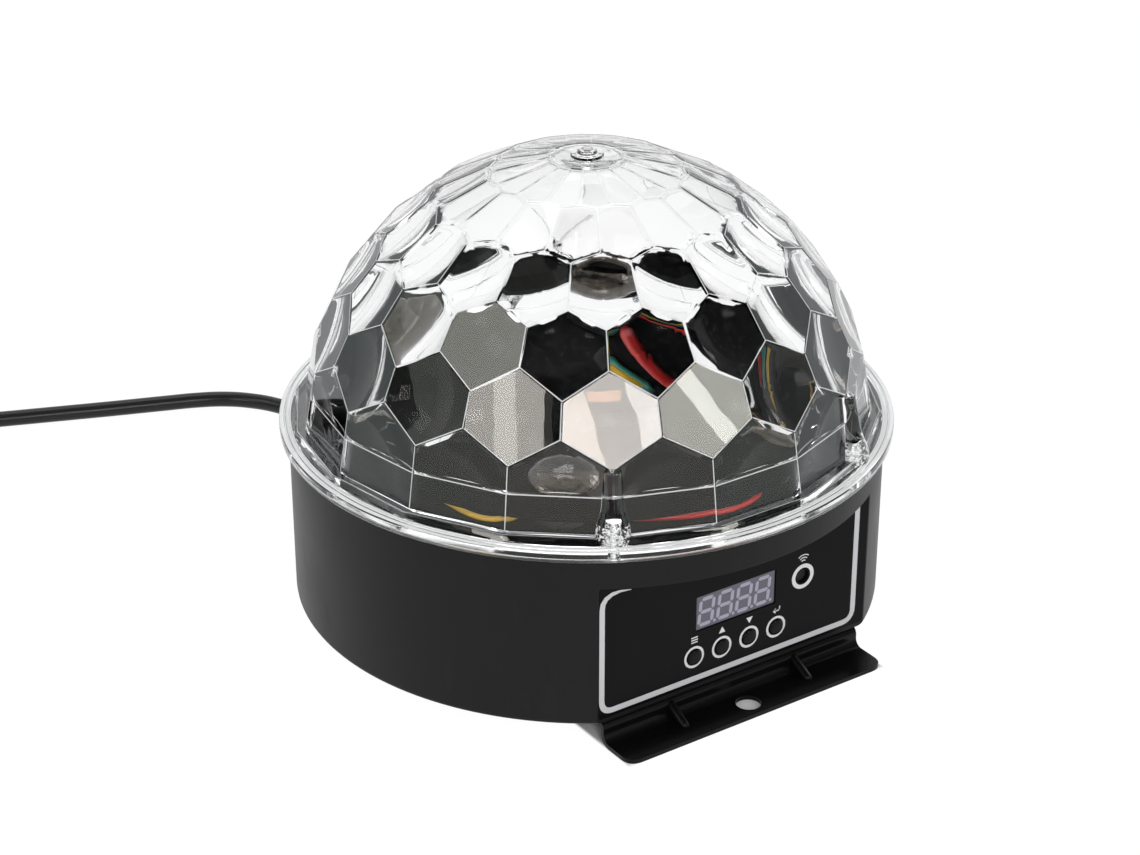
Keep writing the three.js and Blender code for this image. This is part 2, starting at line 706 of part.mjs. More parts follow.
// Deck under the wheel
function ledDeck() {
  const holes = [solidOf(upright(deckHoleRadius, deckHoleRadius,
    deckBottom - overrun, deckTop + overrun, smallSteps))];
  for (const angle of bossAngles) {
    const hole = domeScrewRadius + screwHoleGap;
    holes.push(solidOf(upright(hole, hole,
      deckBottom - overrun, deckTop + overrun, tinySteps, ...onRing(bossRing, angle))));
  }
  for (const place of motorScrewPlaces) {
    const hole = motorScrewRadius + screwHoleGap;
    holes.push(solidOf(upright(
      hole, hole, deckBottom - overrun, deckTop + overrun, tinySteps, ...place)));
  }
  holes.push(solidOf(upright(wireHoleRadius, wireHoleRadius,
    deckBottom - overrun, deckTop + overrun, smallSteps, ...onRing(wireHoleRing, wireHoleAngle))));
  return cut(solidOf(upright(deckRadius, deckRadius, deckBottom, deckTop, innerSteps)), ...holes);
}

add('led_deck', geometryOf(ledDeck()), 0x151516, 0.5);

// Light sources: a six sided board with notched corners and a domed emitter
function lightSource() {
  const z0 = deckTop + clearance;
  let board = solidOf(upright(starRadius, starRadius, z0, z0 + starThickness, starCorners));
  for (let i = 0; i < starCorners; i += 1) {
    const [x, y] = onRing(starRadius, (i * fullTurn) / starCorners);
    board = board.subtract(solidOf(upright(
      starNotchRadius, starNotchRadius, z0 - overrun, z0 + starThickness + overrun, 4, x, y)));
  }
  const z1 = z0 + starThickness + emitterBaseHeight;
  const profile = [[0, z0], [emitterBaseRadius, z0], [emitterBaseRadius, z1], [emitterRadius, z1]];
  const steps = 2;
  for (let i = 1; i < steps; i += 1) {
    const angle = (i / steps) * quarterTurn;
    profile.push([emitterRadius * Math.cos(angle), z1 + emitterRise * Math.sin(angle)]);
  }
  profile.push([0, z1 + emitterRise]);
  return board.add(solidOf(turned(profile, tinySteps)));
}

const sourceSolid = lightSource();
sourceAngles.forEach((angle, i) => {
  const [x, y] = onRing(lensRing, angle);
  add(`led_board_${i + 1}`, geometryOf(sourceSolid).rotateZ(angle).translate(x, y, 0), 0xd8d8cf, 0.5);
});

// Motor, hung under the deck by two ears
function driveMotor() {
  const top = deckBottom - clearance;
  const floor = top - motorHeight;
  const edge = 2 * clearance;
  const reach = motorEarReach - motorEarRadius;
  const earFloor = top - motorEarThickness;
  const pieces = [
    solidOf(upright(motorNoseRadius, motorNoseRadius, top - overrun, deckTop, smallSteps)),
    solidOf(block(-motorEarRadius, motorEarRadius, -reach, reach, earFloor, top)),
  ];
  const bore = shaftRadius + clearance;
  const holes = [solidOf(upright(
    bore, bore, deckTop - shaftSink - clearance, deckTop + overrun, smallSteps))];
  for (const side of [-1, 1]) {
    const hole = motorScrewRadius + screwHoleGap;
    pieces.push(solidOf(upright(
      motorEarRadius, motorEarRadius, earFloor, top, smallSteps, 0, side * reach)));
    holes.push(solidOf(upright(
      hole, hole, earFloor - overrun, top + overrun, tinySteps, 0, side * reach)));
  }
  const can = solidOf(turned([[0, floor], [motorRadius - edge, floor], [motorRadius, floor + edge],
    [motorRadius, top], [0, top]], 2 * smallSteps));
  return geometryOf(cut(join(can, ...pieces), ...holes)).rotateZ(motorTurn);
}

add('drive_motor', driveMotor(), 0xa9abad, 0.35, 0.8);
motorScrewPlaces.forEach((place, i) => {
  const zHead = deckTop + clearance + motorScrewHeadHeight;
  add(`motor_screw_${i + 1}`, screw(motorScrewRadius, motorScrewHeadRadius, motorScrewHeadHeight,
    zHead, deckTop + clearance - motorScrewLength, ...place), 0xb9bcc0, 0.3, 0.9);
});

// Lens wheel and what turns with it
// A window with round corners, between two rings and two spokes
function windowSlab(r0, r1, halfAngle, corner, z0, z1) {
  const at = (radius, angle) => [radius * Math.cos(angle), radius * Math.sin(angle)];
  const inner = halfAngle - corner / r0;
  const outer = halfAngle - corner / r1;
  const shape = new THREE.Shape();
  shape.moveTo(...at(r1, -outer));
  shape.absarc(0, 0, r1, -outer, outer, false);
  shape.quadraticCurveTo(...at(r1, halfAngle), ...at(r1 - corner, halfAngle));
  shape.lineTo(...at(r0 + corner, halfAngle));
  shape.quadraticCurveTo(...at(r0, halfAngle), ...at(r0, inner));
  shape.absarc(0, 0, r0, inner, -inner, true);
  shape.quadraticCurveTo(...at(r0, -halfAngle), ...at(r0 + corner, -halfAngle));
  shape.lineTo(...at(r1 - corner, -halfAngle));
  shape.quadraticCurveTo(...at(r1, -halfAngle), ...at(r1, -outer));
  const slab = new THREE.ExtrudeGeometry(shape, {
    depth: z1 - z0, bevelEnabled: false, curveSegments: 3,
  });
  return slab.rotateZ(-quarterTurn).translate(0, 0, z0);
}

function lensWheel() {
  const plateBottom = wheelTop - wheelPlate;
  const inner = wheelRadius - wheelSkirtWall;
  const profile = [[0, plateBottom - hubDepth], [hubRadius, plateBottom - hubDepth],
    [hubRadius, plateBottom], [inner, plateBottom], [inner, wheelBottom], [wheelRadius, wheelBottom],
    [wheelRadius, wheelTop - wheelEdgeRound], [wheelRadius - wheelEdgeRound, wheelTop],
    [hubRadius, wheelTop], [hubRadius, hubTop], [0, hubTop]];
  let wheel = solidOf(turned(profile, innerSteps));
  const lensWindow = lensRadius - lensSeat;
  for (const angle of sourceAngles) {
    const place = onRing(lensRing, angle);
    const seat = lensRadius + clearance;
    const opening = windowSlab(windowInnerRadius, wheelRadius - wheelBandWidth, windowHalfAngle,
      windowCorner, plateBottom - overrun, wheelTop + overrun);
    const rib = block(-spokeRibWidth / 2, spokeRibWidth / 2, lensWindow - lensRing, -hubRadius / 2,
      plateBottom - spokeRibHeight, plateBottom + wheelPlate / 2);
    wheel = wheel.add(solidOf(rib.rotateZ(angle)));
    wheel = cut(wheel,
      solidOf(opening.rotateZ(angle + fullTurn / sourceCount / 2)),
      solidOf(upright(
        lensWindow, lensWindow, wheelBottom, wheelTop + overrun, mediumSteps, ...place)),
      solidOf(upright(
        seat, seat, wheelTop - lensSeatDepth, wheelTop + overrun, mediumSteps, ...place)));
  }
  const bore = shaftRadius + clearance;
  return wheel.subtract(solidOf(upright(
    bore, bore, wheelBottom - overrun, hubTop + overrun, smallSteps)));
}

add('lens_wheel', geometryOf(lensWheel()), 0x131314, 0.45);

// A lens: flat below, crowned above
function wheelLens() {
  const z0 = wheelTop - lensSeatDepth + clearance;
  const z1 = z0 + lensEdge;
  const sphere = (lensRadius ** 2 + lensCrown ** 2) / (2 * lensCrown);
  const profile = [[0, z0], [lensRadius, z0], [lensRadius, z1]];
  const steps = 3;
  const spread = Math.asin(lensRadius / sphere);
  for (let i = 1; i < steps; i += 1) {
    const angle = spread * (1 - i / steps);
    profile.push([sphere * Math.sin(angle), z1 + sphere * Math.cos(angle) - (sphere - lensCrown)]);
  }
  profile.push([0, z1 + lensCrown]);
  return turned(profile, mediumSteps);
}

sourceAngles.forEach((angle, i) => {
  const [x, y] = onRing(lensRing, angle);
  const lens = geometryOf(solidOf(wheelLens())).translate(x, y, 0);
  add(`wheel_lens_${i + 1}`, lens, 0xeaf2f5, 0.05, 0, 0.4);
});

const shaft = upright(shaftRadius, shaftRadius, deckTop - shaftSink, hubTop - clearance, smallSteps);
add('drive_shaft', geometryOf(solidOf(shaft)), 0xc0c2c4, 0.25, 1);
add('wheel_screw', geometryOf(solidOf(turned([[0, hubTop + clearance],
  [wheelScrewHeadRadius, hubTop + clearance],
  [wheelScrewHeadRadius, hubTop + clearance + wheelScrewHeadHeight * screwHeadEdgeShare],
  [wheelScrewHeadRadius * screwHeadTopShare, hubTop + clearance + wheelScrewHeadHeight],
  [0, hubTop + clearance + wheelScrewHeadHeight]], smallSteps))), 0xb9bcc0, 0.3, 0.9);

// Wires: up through one hole in the deck, out between two light sources and round to a board
class WireCurve extends THREE.Curve {
  constructor(points) {
    super();
    this.spline = new THREE.CatmullRomCurve3(points, false, 'centripetal');
  }

  getPoint(t, target = new THREE.Vector3()) {
    return this.spline.getPoint(t, target);
  }
}

function circle(radius, sides) {
  const shape = new THREE.Shape();
  for (let i = 0; i < sides; i += 1) {
    const angle = (i * fullTurn) / sides;
    const [x, y] = [radius * Math.cos(angle), radius * Math.sin(angle)];
    if (i === 0) shape.moveTo(x, y);
    else shape.lineTo(x, y);
  }
  shape.closePath();
  return shape;
}

function tube(curve, radius, sides, steps) {
  return new THREE.ExtrudeGeometry(circle(radius, sides), {
    extrudePath: curve, steps, bevelEnabled: false,
  });
}

function wire(index, name, colour) {
  const low = deckTop + clearance + wireRadius;
  const aside = (index - (wireCount - 1) / 2) * wirePitch;
  const board = sourceAngles[2];
  const along = (radius, angle, shift) => {
    const [x, y] = onRing(radius, angle);
    return [x + shift * Math.cos(angle), y + shift * Math.sin(angle)];
  };
  const turnRadius = THREE.MathUtils.lerp(wireHoleRing, lensRing, wireTurnShare);
  const lead = starRadius + clearance + wireRadius;
  const approach = board - lead / lensRing;
  const points = [
    [...along(wireHoleRing, wireHoleAngle, aside), deckBottom - wireDrop],
    [...along(wireHoleRing, wireHoleAngle, aside), deckBottom - wireRadius],
    [...along(wireHoleRing, wireHoleAngle, aside), deckTop - wireRadius],
    [...along(wireHoleRing + wireHoleRadius, wireHoleAngle, aside), low],
    [...along(turnRadius, wireHoleAngle, aside), low],
    [...onRing(lensRing - aside, (wireHoleAngle + approach) / 2), low],
    [...onRing(lensRing - aside, approach), low],
  ].map((place) => new THREE.Vector3(...place));
  add(name, tube(new WireCurve(points), wireRadius, wireSides, wireSteps), colour, 0.4);
}

wire(0, 'wire_red', 0xb3231f);
wire(1, 'wire_green', 0x2f7a69);
wire(2, 'wire_yellow', 0xcfa92f);

// Control board and what it carries
add('control_board', block(-boardWidth / 2, boardWidth / 2,
  boardFront, boardFront + boardThickness, boardBottom, boardBottom + boardHeight), 0x1f5b38, 0.5);
add('display_module', block(-displayWidth / 2 + clearance, displayWidth / 2 - clearance,
  -flatDistance + displaySink, boardFront - clearance,
  displayMiddle - displayHeight / 2 + clearance, displayMiddle + displayHeight / 2 - clearance),
0x8e8aa0, 0.3);

// A push button: domed cap, flange behind the panel
function buttonCap() {
  const front = -flatDistance - buttonProud;
  const flangeFront = panelBack + clearance;
  const back = flangeFront + buttonFlangeThickness;
  const profile = [[0, 0], [buttonFlangeRadius, 0], [buttonFlangeRadius, buttonFlangeThickness],
    [buttonRadius, buttonFlangeThickness], [buttonRadius, back - front - buttonDome],
    [0, back - front]];
  return turned(profile, smallSteps).rotateX(quarterTurn).translate(0, back, 0);
}

buttonPlaces.forEach((x, i) => {
  const cap = geometryOf(solidOf(buttonCap())).translate(x, 0, buttonMiddle);
  add(`button_cap_${i + 1}`, cap, 0x101010, 0.4);
});

function tactSwitch(x) {
  const z = buttonMiddle;
  const half = switchSize / 2;
  const back = boardFront - clearance;
  const body = solidOf(block(x - half, x + half, back - switchHeight, back, z - half, z + half));
  const plunger = solidOf(level(switchPlungerRadius, switchPlungerRadius,
    buttonBack + buttonTravel + buttonSlack, back, tinySteps, x, z));
  return body.add(plunger);
}

buttonPlaces.forEach((x, i) => {
  add(`tact_switch_${i + 1}`, geometryOf(tactSwitch(x)), 0x3a3a3c, 0.5);
});

function microphone() {
  const z = microphoneMiddle;
  const bodyFront = panelBack + clearance;
  const face = solidOf(level(microphoneRadius, microphoneRadius,
    -flatDistance + microphoneSink, boardFront - clearance, smallSteps, microphoneAcross, z));
  const can = solidOf(level(microphoneBodyRadius, microphoneBodyRadius,
    bodyFront, bodyFront + microphoneBodyDepth, mediumSteps, microphoneAcross, z));
  return face.add(can);
}

add('microphone', geometryOf(microphone()), 0x222222, 0.8);

// Power board on four posts
function powerBoard() {
  const middle = innerFlat - powerBoardBackInset;
  const z0 = plateTop + powerBoardRise;
  const z1 = z0 + boardThickness;
  const [halfX, halfY] = [powerBoardWidth / 2, powerBoardDepth / 2];
  let body = solidOf(block(-halfX, halfX, middle - halfY, middle + halfY, z0, z1));
  const inset = 2 * powerBoardPostRadius;
  for (const sx of [-1, 1]) {
    for (const sy of [-1, 1]) {
      body = body.add(solidOf(upright(powerBoardPostRadius, powerBoardPostRadius, plateTop + clearance,
        z1, tinySteps, sx * (halfX - inset), middle + sy * (halfY - inset))));
    }
  }
  const tx = -halfX + inset + transformerWidth / 2;
  body = body.add(solidOf(block(tx - transformerWidth / 2, tx + transformerWidth / 2,
    middle - transformerDepth / 2, middle + transformerDepth / 2, z0, z1 + transformerHeight)));
  const cx = tx + transformerWidth / 2 + 2 * capacitorRadius;
  body = body.add(solidOf(upright(capacitorRadius, capacitorRadius, z0, z1 + capacitorHeight, smallSteps,
    cx, middle - halfY / 2)));
  const hx = cx + capacitorRadius + heatSinkWidth;
  return body.add(solidOf(block(hx - heatSinkWidth / 2, hx + heatSinkWidth / 2,
    middle - halfY + inset, middle - halfY + inset + heatSinkThickness, z0, z1 + heatSinkHeight)));
}

add('power_board', geometryOf(powerBoard()), 0x24603c, 0.5);

// Rear sockets: a plate outside the wall, a barrel through it, and pins or pin holes
function rearSocket(x, withPins) {
  const z = socketMiddle;
  const wall = flatDistance + clearance;
  const front = wall + socketPlateThickness;
  const plate = roundedSlab(
    socketPlateWidth, socketPlateHeight, socketPlateCorner, 0, socketPlateThickness, 2);
  plate.rotateX(-quarterTurn).translate(x, wall, z);
  const mouth = front + socketRimProud;
  const barrelBack = innerFlat - socketBarrelDepth;
  let body = join(solidOf(plate),
    solidOf(level(socketBarrelRadius, socketBarrelRadius, barrelBack, wall, mediumSteps, x, z)),
    solidOf(level(socketRimRadius, socketRimRadius, barrelBack, mouth, mediumSteps, x, z)));
  const cupFloor = mouth - socketCupDepth;
  if (withPins) {
    body = body.subtract(solidOf(level(
      socketCupRadius, socketCupRadius, cupFloor, mouth + overrun, mediumSteps, x, z)));
  }
  for (const angle of socketPinAngles) {
    const [px, pz] = [x + socketPinRing * Math.cos(angle), z + socketPinRing * Math.sin(angle)];
    if (withPins) {
      body = body.add(solidOf(level(socketPinRadius, socketPinRadius,
        cupFloor - overrun, cupFloor + socketPinLength, tinySteps, px, pz)));
    } else {
      body = body.subtract(solidOf(level(socketPinHoleRadius, socketPinHoleRadius,
        cupFloor, mouth + overrun, tinySteps, px, pz)));
    }
  }
  return body;
}

add('signal_in_socket', geometryOf(rearSocket(socketNearAcross, true)), 0x1a1a1c, 0.4, 0.3);
add('signal_out_socket', geometryOf(rearSocket(socketFarAcross, false)), 0x1a1a1c, 0.4, 0.3);

// Strain relief: collar, neck through the wall, and a grooved taper outside
function cordGland() {
  const z = glandMiddle;
  const wall = flatDistance + clearance;
  const tip = wall + glandLength;
  const taperFoot = wall + glandCollarThickness;
  const profile = [[0, innerFlat - glandInnerLength], [glandNeckRadius, innerFlat - glandInnerLength],
    [glandNeckRadius, wall], [glandCollarRadius, wall], [glandCollarRadius, taperFoot]];
  const stride = (tip - taperFoot) / (glandGrooves + 1);
  const radiusAt = (y) => THREE.MathUtils.mapLinear(y, taperFoot, tip, glandFootRadius, glandTipRadius);
  for (let i = 0; i < glandGrooves; i += 1) {
    const y0 = taperFoot + (i + 1 - glandGrooveShare) * stride;
    const y1 = y0 + glandGrooveShare * stride;
    if (i === 0) profile.push([radiusAt(taperFoot), taperFoot]);
    profile.push([radiusAt(y0), y0], [radiusAt(y0) - glandGrooveDepth, y0],
      [radiusAt(y1) - glandGrooveDepth, y1], [radiusAt(y1), y1]);
  }
  profile.push([glandTipRadius, tip], [0, tip]);
  return turned(profile, cordSides).rotateX(-quarterTurn).translate(glandAcross, 0, z);
}

add('cord_gland', geometryOf(solidOf(cordGland())), 0x141414, 0.55);

// The cord's free stretch
const stretchCurve = new WireCurve(cordRoute.map(([x, y, z]) => new THREE.Vector3(x, y, z)));
add('power_cord', tube(stretchCurve, cordRadius, cordSides, cordSteps), 0x17171a, 0.45);

// The coil: spirals in on the table, climbs a layer and spirals out again, then runs to the plug
const routeEnd = new THREE.Vector3(...cordRoute[cordRoute.length - 1]);
const routeHeading = routeEnd.clone().sub(new THREE.Vector3(...cordRoute[cordRoute.length - 2])).normalize();
const coilOuterRadius = coilMiddleRadius + (coilPitch * coilTurns) / 4;
const coilInnerRadius = coilOuterRadius - (coilPitch * coilTurns) / 2;
const coilLead = 2 * cordRadius; // straight start, one diameter
const coilStartAngle = Math.atan2(-routeHeading.x, routeHeading.y);
const coilStart = routeEnd.clone().addScaledVector(routeHeading, coilLead + clearance);
const coilCentre = coilStart.clone().add(new THREE.Vector3(
  -coilOuterRadius * Math.cos(coilStartAngle), -coilOuterRadius * Math.sin(coilStartAngle), 0));

function coilPoint(turns) {
  const half = coilTurns / 2;
  const off = Math.sqrt((turns - half) ** 2 + coilTurnSoftness ** 2) - coilTurnSoftness;
  const radius = coilInnerRadius + coilPitch * off;
  const climb = THREE.MathUtils.smoothstep(turns, half - coilClimb, half + coilClimb);
  const angle = coilStartAngle + turns * fullTurn;
  return new THREE.Vector3(coilCentre.x + radius * Math.cos(angle),
    coilCentre.y + radius * Math.sin(angle), cordRest + coilPitch * climb);
}

function coilRoute() {
  const points = [coilStart.clone().addScaledVector(routeHeading, -coilLead)];
  const lead = 3;
  for (let i = 1; i < lead; i += 1) {
    points.push(points[0].clone().addScaledVector(routeHeading, (coilLead * i) / lead));
  }
  const steps = Math.round(coilTurns * coilStepsPerTurn);
  const firstPoint = coilPoint(0);
  points.push(firstPoint.clone().setZ(cordRest));
  for (let i = 1; i <= steps; i += 1) points.push(coilPoint((coilTurns * i) / steps));
  const end = points[points.length - 1];
  const before = coilPoint(coilTurns - 1 / coilStepsPerTurn / 4);
  const heading = end.clone().sub(before).setZ(0).normalize();
  const run = tailLevelRun + tailDropRun;
  for (let i = 1; i <= tailSteps; i += 1) {
    const along = (run * i) / tailSteps;
    const drop = THREE.MathUtils.smoothstep(along, tailLevelRun, run);
    const z = THREE.MathUtils.lerp(end.z, plugAxis, drop);
    points.push(end.clone().addScaledVector(heading, along).setZ(z));
  }
  const last = points[points.length - 1].clone();
  points.push(last.clone().addScaledVector(heading, cordRadius));
  points.push(last.clone().addScaledVector(heading, 2 * cordRadius));
  return { points, heading };
}

const coil = coilRoute();

// Least gap of the coil to itself, centre line to centre line less one diameter
function leastGap(points) {
  let least = Infinity;
  const apart = Math.round(coilStepsPerTurn * 0.5);
  for (let i = 0; i < points.length; i += 1) {
    for (let j = i + apart; j < points.length - 1; j += 1) {
      const segment = new THREE.Line3(points[j], points[j + 1]);
      const near = segment.closestPointToPoint(points[i], true, new THREE.Vector3());
      least = Math.min(least, near.distanceTo(points[i]));
    }
  }
  return least - 2 * cordRadius;
}

// A tube through every point of a route, mitred at each, closed at both ends
function sweep(points, radius, sides) {
  const positions = [];
  const index = [];
  const along = points.map((point, i) => {
    const before = points[Math.max(i - 1, 0)];
    const after = points[Math.min(i + 1, points.length - 1)];
    return after.clone().sub(before).normalize();
  });
  points.forEach((point, i) => {
    const side = new THREE.Vector3(0, 0, 1).cross(along[i]).normalize();
    const up = along[i].clone().cross(side);
    for (let k = 0; k < sides; k += 1) {
      const angle = (k * fullTurn) / sides;
      const corner = point.clone().addScaledVector(side, radius * Math.cos(angle));
      corner.addScaledVector(up, radius * Math.sin(angle));
      positions.push(corner.x, corner.y, corner.z);
      if (i > 0) {
        const [a, b] = [(i - 1) * sides + k, (i - 1) * sides + ((k + 1) % sides)];
        index.push(a, b, a + sides, b, b + sides, a + sides);
      }
    }
  });
  const last = (points.length - 1) * sides;
  for (let k = 1; k < sides - 1; k += 1) {
    index.push(0, k + 1, k, last, last + k, last + k + 1);
  }
  const geometry = new THREE.BufferGeometry();
  geometry.setAttribute('position', new THREE.Float32BufferAttribute(positions, 3));
  geometry.setIndex(index);
  return geometryOf(solidOf(geometry));
}

console.log(`coil: least gap to itself ${leastGap(coil.points).toFixed(2)} mm`);
let cordLength = stretchCurve.getLength();
for (let i = 1; i < coil.points.length; i += 1) {
  cordLength += coil.points[i].distanceTo(coil.points[i - 1]);
}
console.log(`cord: ${cordLength.toFixed(0)} mm in all`);
add('power_cord_coil', sweep(coil.points, cordRadius, coilSides), 0x17171a, 0.45);

// Plug: a flat moulded body that narrows towards the cord, with two round pins
function plug() {
  const [halfEnd, halfNeck] = [plugWidth / 2, (plugWidth * plugWaistShare) / 2];
  const shape = new THREE.Shape();
  shape.moveTo(-halfNeck, 0);
  shape.lineTo(halfNeck, 0);
  shape.quadraticCurveTo(halfNeck, plugLength / 2, halfEnd, plugLength * plugWaistEndShare);
  shape.lineTo(halfEnd, plugLength - plugCornerRadius);
  shape.absarc(halfEnd - plugCornerRadius, plugLength - plugCornerRadius, plugCornerRadius, 0, quarterTurn);
  shape.absarc(-halfEnd + plugCornerRadius, plugLength - plugCornerRadius, plugCornerRadius,
    quarterTurn, Math.PI);
  shape.lineTo(-halfEnd, plugLength * plugWaistEndShare);
  shape.quadraticCurveTo(-halfNeck, plugLength / 2, -halfNeck, 0);
  const edge = plugEdge;
  const body = new THREE.ExtrudeGeometry(shape, {
    depth: plugHeight - 2 * edge, bevelEnabled: true, bevelThickness: edge, bevelSize: edge,
    bevelOffset: -edge, bevelSegments: 1, curveSegments: 4,
  }).translate(0, 0, edge - plugHeight / 2);
  let whole = solidOf(body).add(solidOf(level(cordRadius + clearance, plugNeckRadius,
    -plugNeckLength, plugNeckLength / 2, smallSteps)));
  for (const side of [-1, 1]) {
    whole = whole.add(solidOf(level(plugPinRadius, plugPinRadius,
      plugLength - plugPinRadius, plugLength + plugPinLength, smallSteps, (side * plugPinSpacing) / 2)));
  }
  return geometryOf(whole);
}

const tailEnd = coil.points[coil.points.length - 1];
const plugTurn = Math.atan2(-coil.heading.x, coil.heading.y);
const plugStart = tailEnd.clone().addScaledVector(coil.heading, clearance + plugNeckLength);
const plugMesh = add('plug', plug(), 0x17171a, 0.5);
plugMesh.rotation.z = plugTurn;
plugMesh.position.copy(plugStart).setZ(plugAxis);

export default model;
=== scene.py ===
import math

import bmesh
import bpy
import numpy
from mathutils import Matrix, Quaternion, Vector


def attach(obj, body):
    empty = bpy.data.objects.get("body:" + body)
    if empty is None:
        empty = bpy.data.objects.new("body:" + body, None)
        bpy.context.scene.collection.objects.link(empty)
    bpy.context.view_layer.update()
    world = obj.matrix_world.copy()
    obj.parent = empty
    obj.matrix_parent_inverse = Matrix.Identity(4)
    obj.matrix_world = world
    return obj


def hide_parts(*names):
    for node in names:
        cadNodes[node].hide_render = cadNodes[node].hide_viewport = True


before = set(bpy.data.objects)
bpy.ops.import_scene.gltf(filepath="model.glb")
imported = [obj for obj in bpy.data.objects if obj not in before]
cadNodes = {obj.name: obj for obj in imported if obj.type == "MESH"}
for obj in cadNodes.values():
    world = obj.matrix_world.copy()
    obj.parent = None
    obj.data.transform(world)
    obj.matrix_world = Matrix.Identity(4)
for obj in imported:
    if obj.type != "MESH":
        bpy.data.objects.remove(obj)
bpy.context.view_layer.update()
scene = bpy.context.scene
scene.view_settings.view_transform = "Standard"
mm = 0.001
fullTurn = 2 * math.pi
quarterTurn = math.pi / 2
alongY = Matrix.Rotation(-quarterTurn, 4, "X")  # takes a shape's height to +Y
sphere = {"height": 66.3, "radius": 94.2}  # what the dome's facets touch
print("frame loaded")


# Camera: where the photograph was taken from
view = {"place": (-460.94, -658.51, 467.58), "target": (-4.517, 3.116, 62.70), "lens": 84.47}


def setCamera():
    camera = bpy.data.objects.new("camera", bpy.data.cameras.new("camera"))
    scene.collection.objects.link(camera)
    camera.location = Vector(view["place"]) * mm
    look = Vector(view["target"]) * mm - camera.location
    camera.rotation_euler = look.to_track_quat("-Z", "Y").to_euler()
    camera.data.sensor_fit = "HORIZONTAL"
    camera.data.sensor_width = 36
    camera.data.lens = view["lens"]
    camera.data.clip_start = 0.01
    camera.data.clip_end = 50
    scene.camera = camera


setCamera()


# A socket that sums can be written with; the finish it belongs to adds the nodes
class Value:
    def __init__(self, finish, socket):
        self.finish = finish
        self.socket = socket

    def __add__(self, other):
        return self.finish.work("ADD", self, other)

    def __radd__(self, other):
        return self.finish.work("ADD", other, self)

    def __sub__(self, other):
        return self.finish.work("SUBTRACT", self, other)

    def __rsub__(self, other):
        return self.finish.work("SUBTRACT", other, self)

    def __mul__(self, other):
        return self.finish.work("MULTIPLY", self, other)

    def __rmul__(self, other):
        return self.finish.work("MULTIPLY", other, self)

    def __truediv__(self, other):
        return self.finish.work("DIVIDE", self, other)

    def __rtruediv__(self, other):
        return self.finish.work("DIVIDE", other, self)


class Finish:
    def __init__(self, name, owner=None):
        self.owner = owner or bpy.data.materials.new(name)
        self.owner.use_nodes = True
        self.tree = self.owner.node_tree
        self.tree.nodes.clear()

    def node(self, kind, settings=None, sockets=None, output=0):
        made = self.tree.nodes.new("ShaderNode" + kind)
        for name, setting in (settings or {}).items():
            if name == "stops":
                ramp = made.color_ramp
                for position, grey in setting[1:-1]:
                    ramp.elements.new(position)
                for element, (position, grey) in zip(ramp.elements, setting):
                    element.position = position
                    element.color = (grey, grey, grey, 1)
            else:
                setattr(made, name, setting)
        for name, value in (sockets or {}).items():
            if isinstance(value, Value):
                self.tree.links.new(value.socket, made.inputs[name])
            else:
                made.inputs[name].default_value = value
        return Value(self, made.outputs[output])

    def work(self, operation, first, second):
        kinds = {v.socket.type for v in (first, second) if isinstance(v, Value)}
        if "RGBA" in kinds:
            pair = [v if isinstance(v, Value) else tone(v) for v in (first, second)]
            return self.node("Mix", {"data_type": "RGBA", "blend_type": operation},
                             {0: 1.0, 6: pair[0], 7: pair[1]}, 2)
        if "VECTOR" in kinds:
            pair = [(v, v, v) if isinstance(v, (int, float)) else v for v in (first, second)]
            return self.node("VectorMath", {"operation": operation}, {0: pair[0], 1: pair[1]})
        return self.node("Math", {"operation": operation}, {0: first, 1: second})

    def place(self):  # where a point is, in millimetres
        return self.node("TexCoord", output="Object") * 1000

    def noise(self, where, size, detail=2.0, rough=0.5):
        return self.node("TexNoise", {}, {"Vector": where, "Scale": 1 / size, "Detail": detail,
                                          "Roughness": rough})

    def ramp(self, value, *stops):
        ramped = self.node("ValToRGB", {"stops": stops}, {"Fac": value})
        return self.node("RGBToBW", {}, {"Color": ramped})

    def blend(self, share, low, high):
        return self.node("Mix", {"data_type": "RGBA"},
                         {0: share, 6: low if isinstance(low, Value) else tone(low),
                          7: high if isinstance(high, Value) else tone(high)}, 2)

    def bump(self, height, depth, strength=1.0):
        return self.node("Bump", {}, {"Height": height, "Distance": depth * mm, "Strength": strength})

    def surface(self, sockets):
        return self.node("BsdfPrincipled", {}, sockets)

    def done(self, shader):
        output = self.tree.nodes.new("ShaderNodeOutputMaterial")
        self.tree.links.new(shader.socket, output.inputs["Surface"])
        return self.owner


def tone(colour):
    if isinstance(colour, (int, float)):
        return (colour, colour, colour, 1)
    return (*colour, 1) if len(colour) == 3 else colour


# Shapes in millimetres. A point of a profile or outline may carry the length of its corner's rounding
def softened(points, steps=4, closed=False):
    line = []
    for i, point in enumerate(points):
        here = Vector(point[:2])
        size = point[2] if len(point) > 2 else 0
        if not size or (not closed and i in (0, len(points) - 1)):
            line.append(here)
            continue
        before = Vector(points[i - 1][:2]) - here
        after = Vector(points[(i + 1) % len(points)][:2]) - here
        start = here + before.normalized() * min(size, 0.49 * before.length)
        end = here + after.normalized() * min(size, 0.49 * after.length)
        for k in range(steps + 1):
            t = k / steps
            line.append(start * (1 - t) ** 2 + here * (2 * t * (1 - t)) + end * t ** 2)
    return line


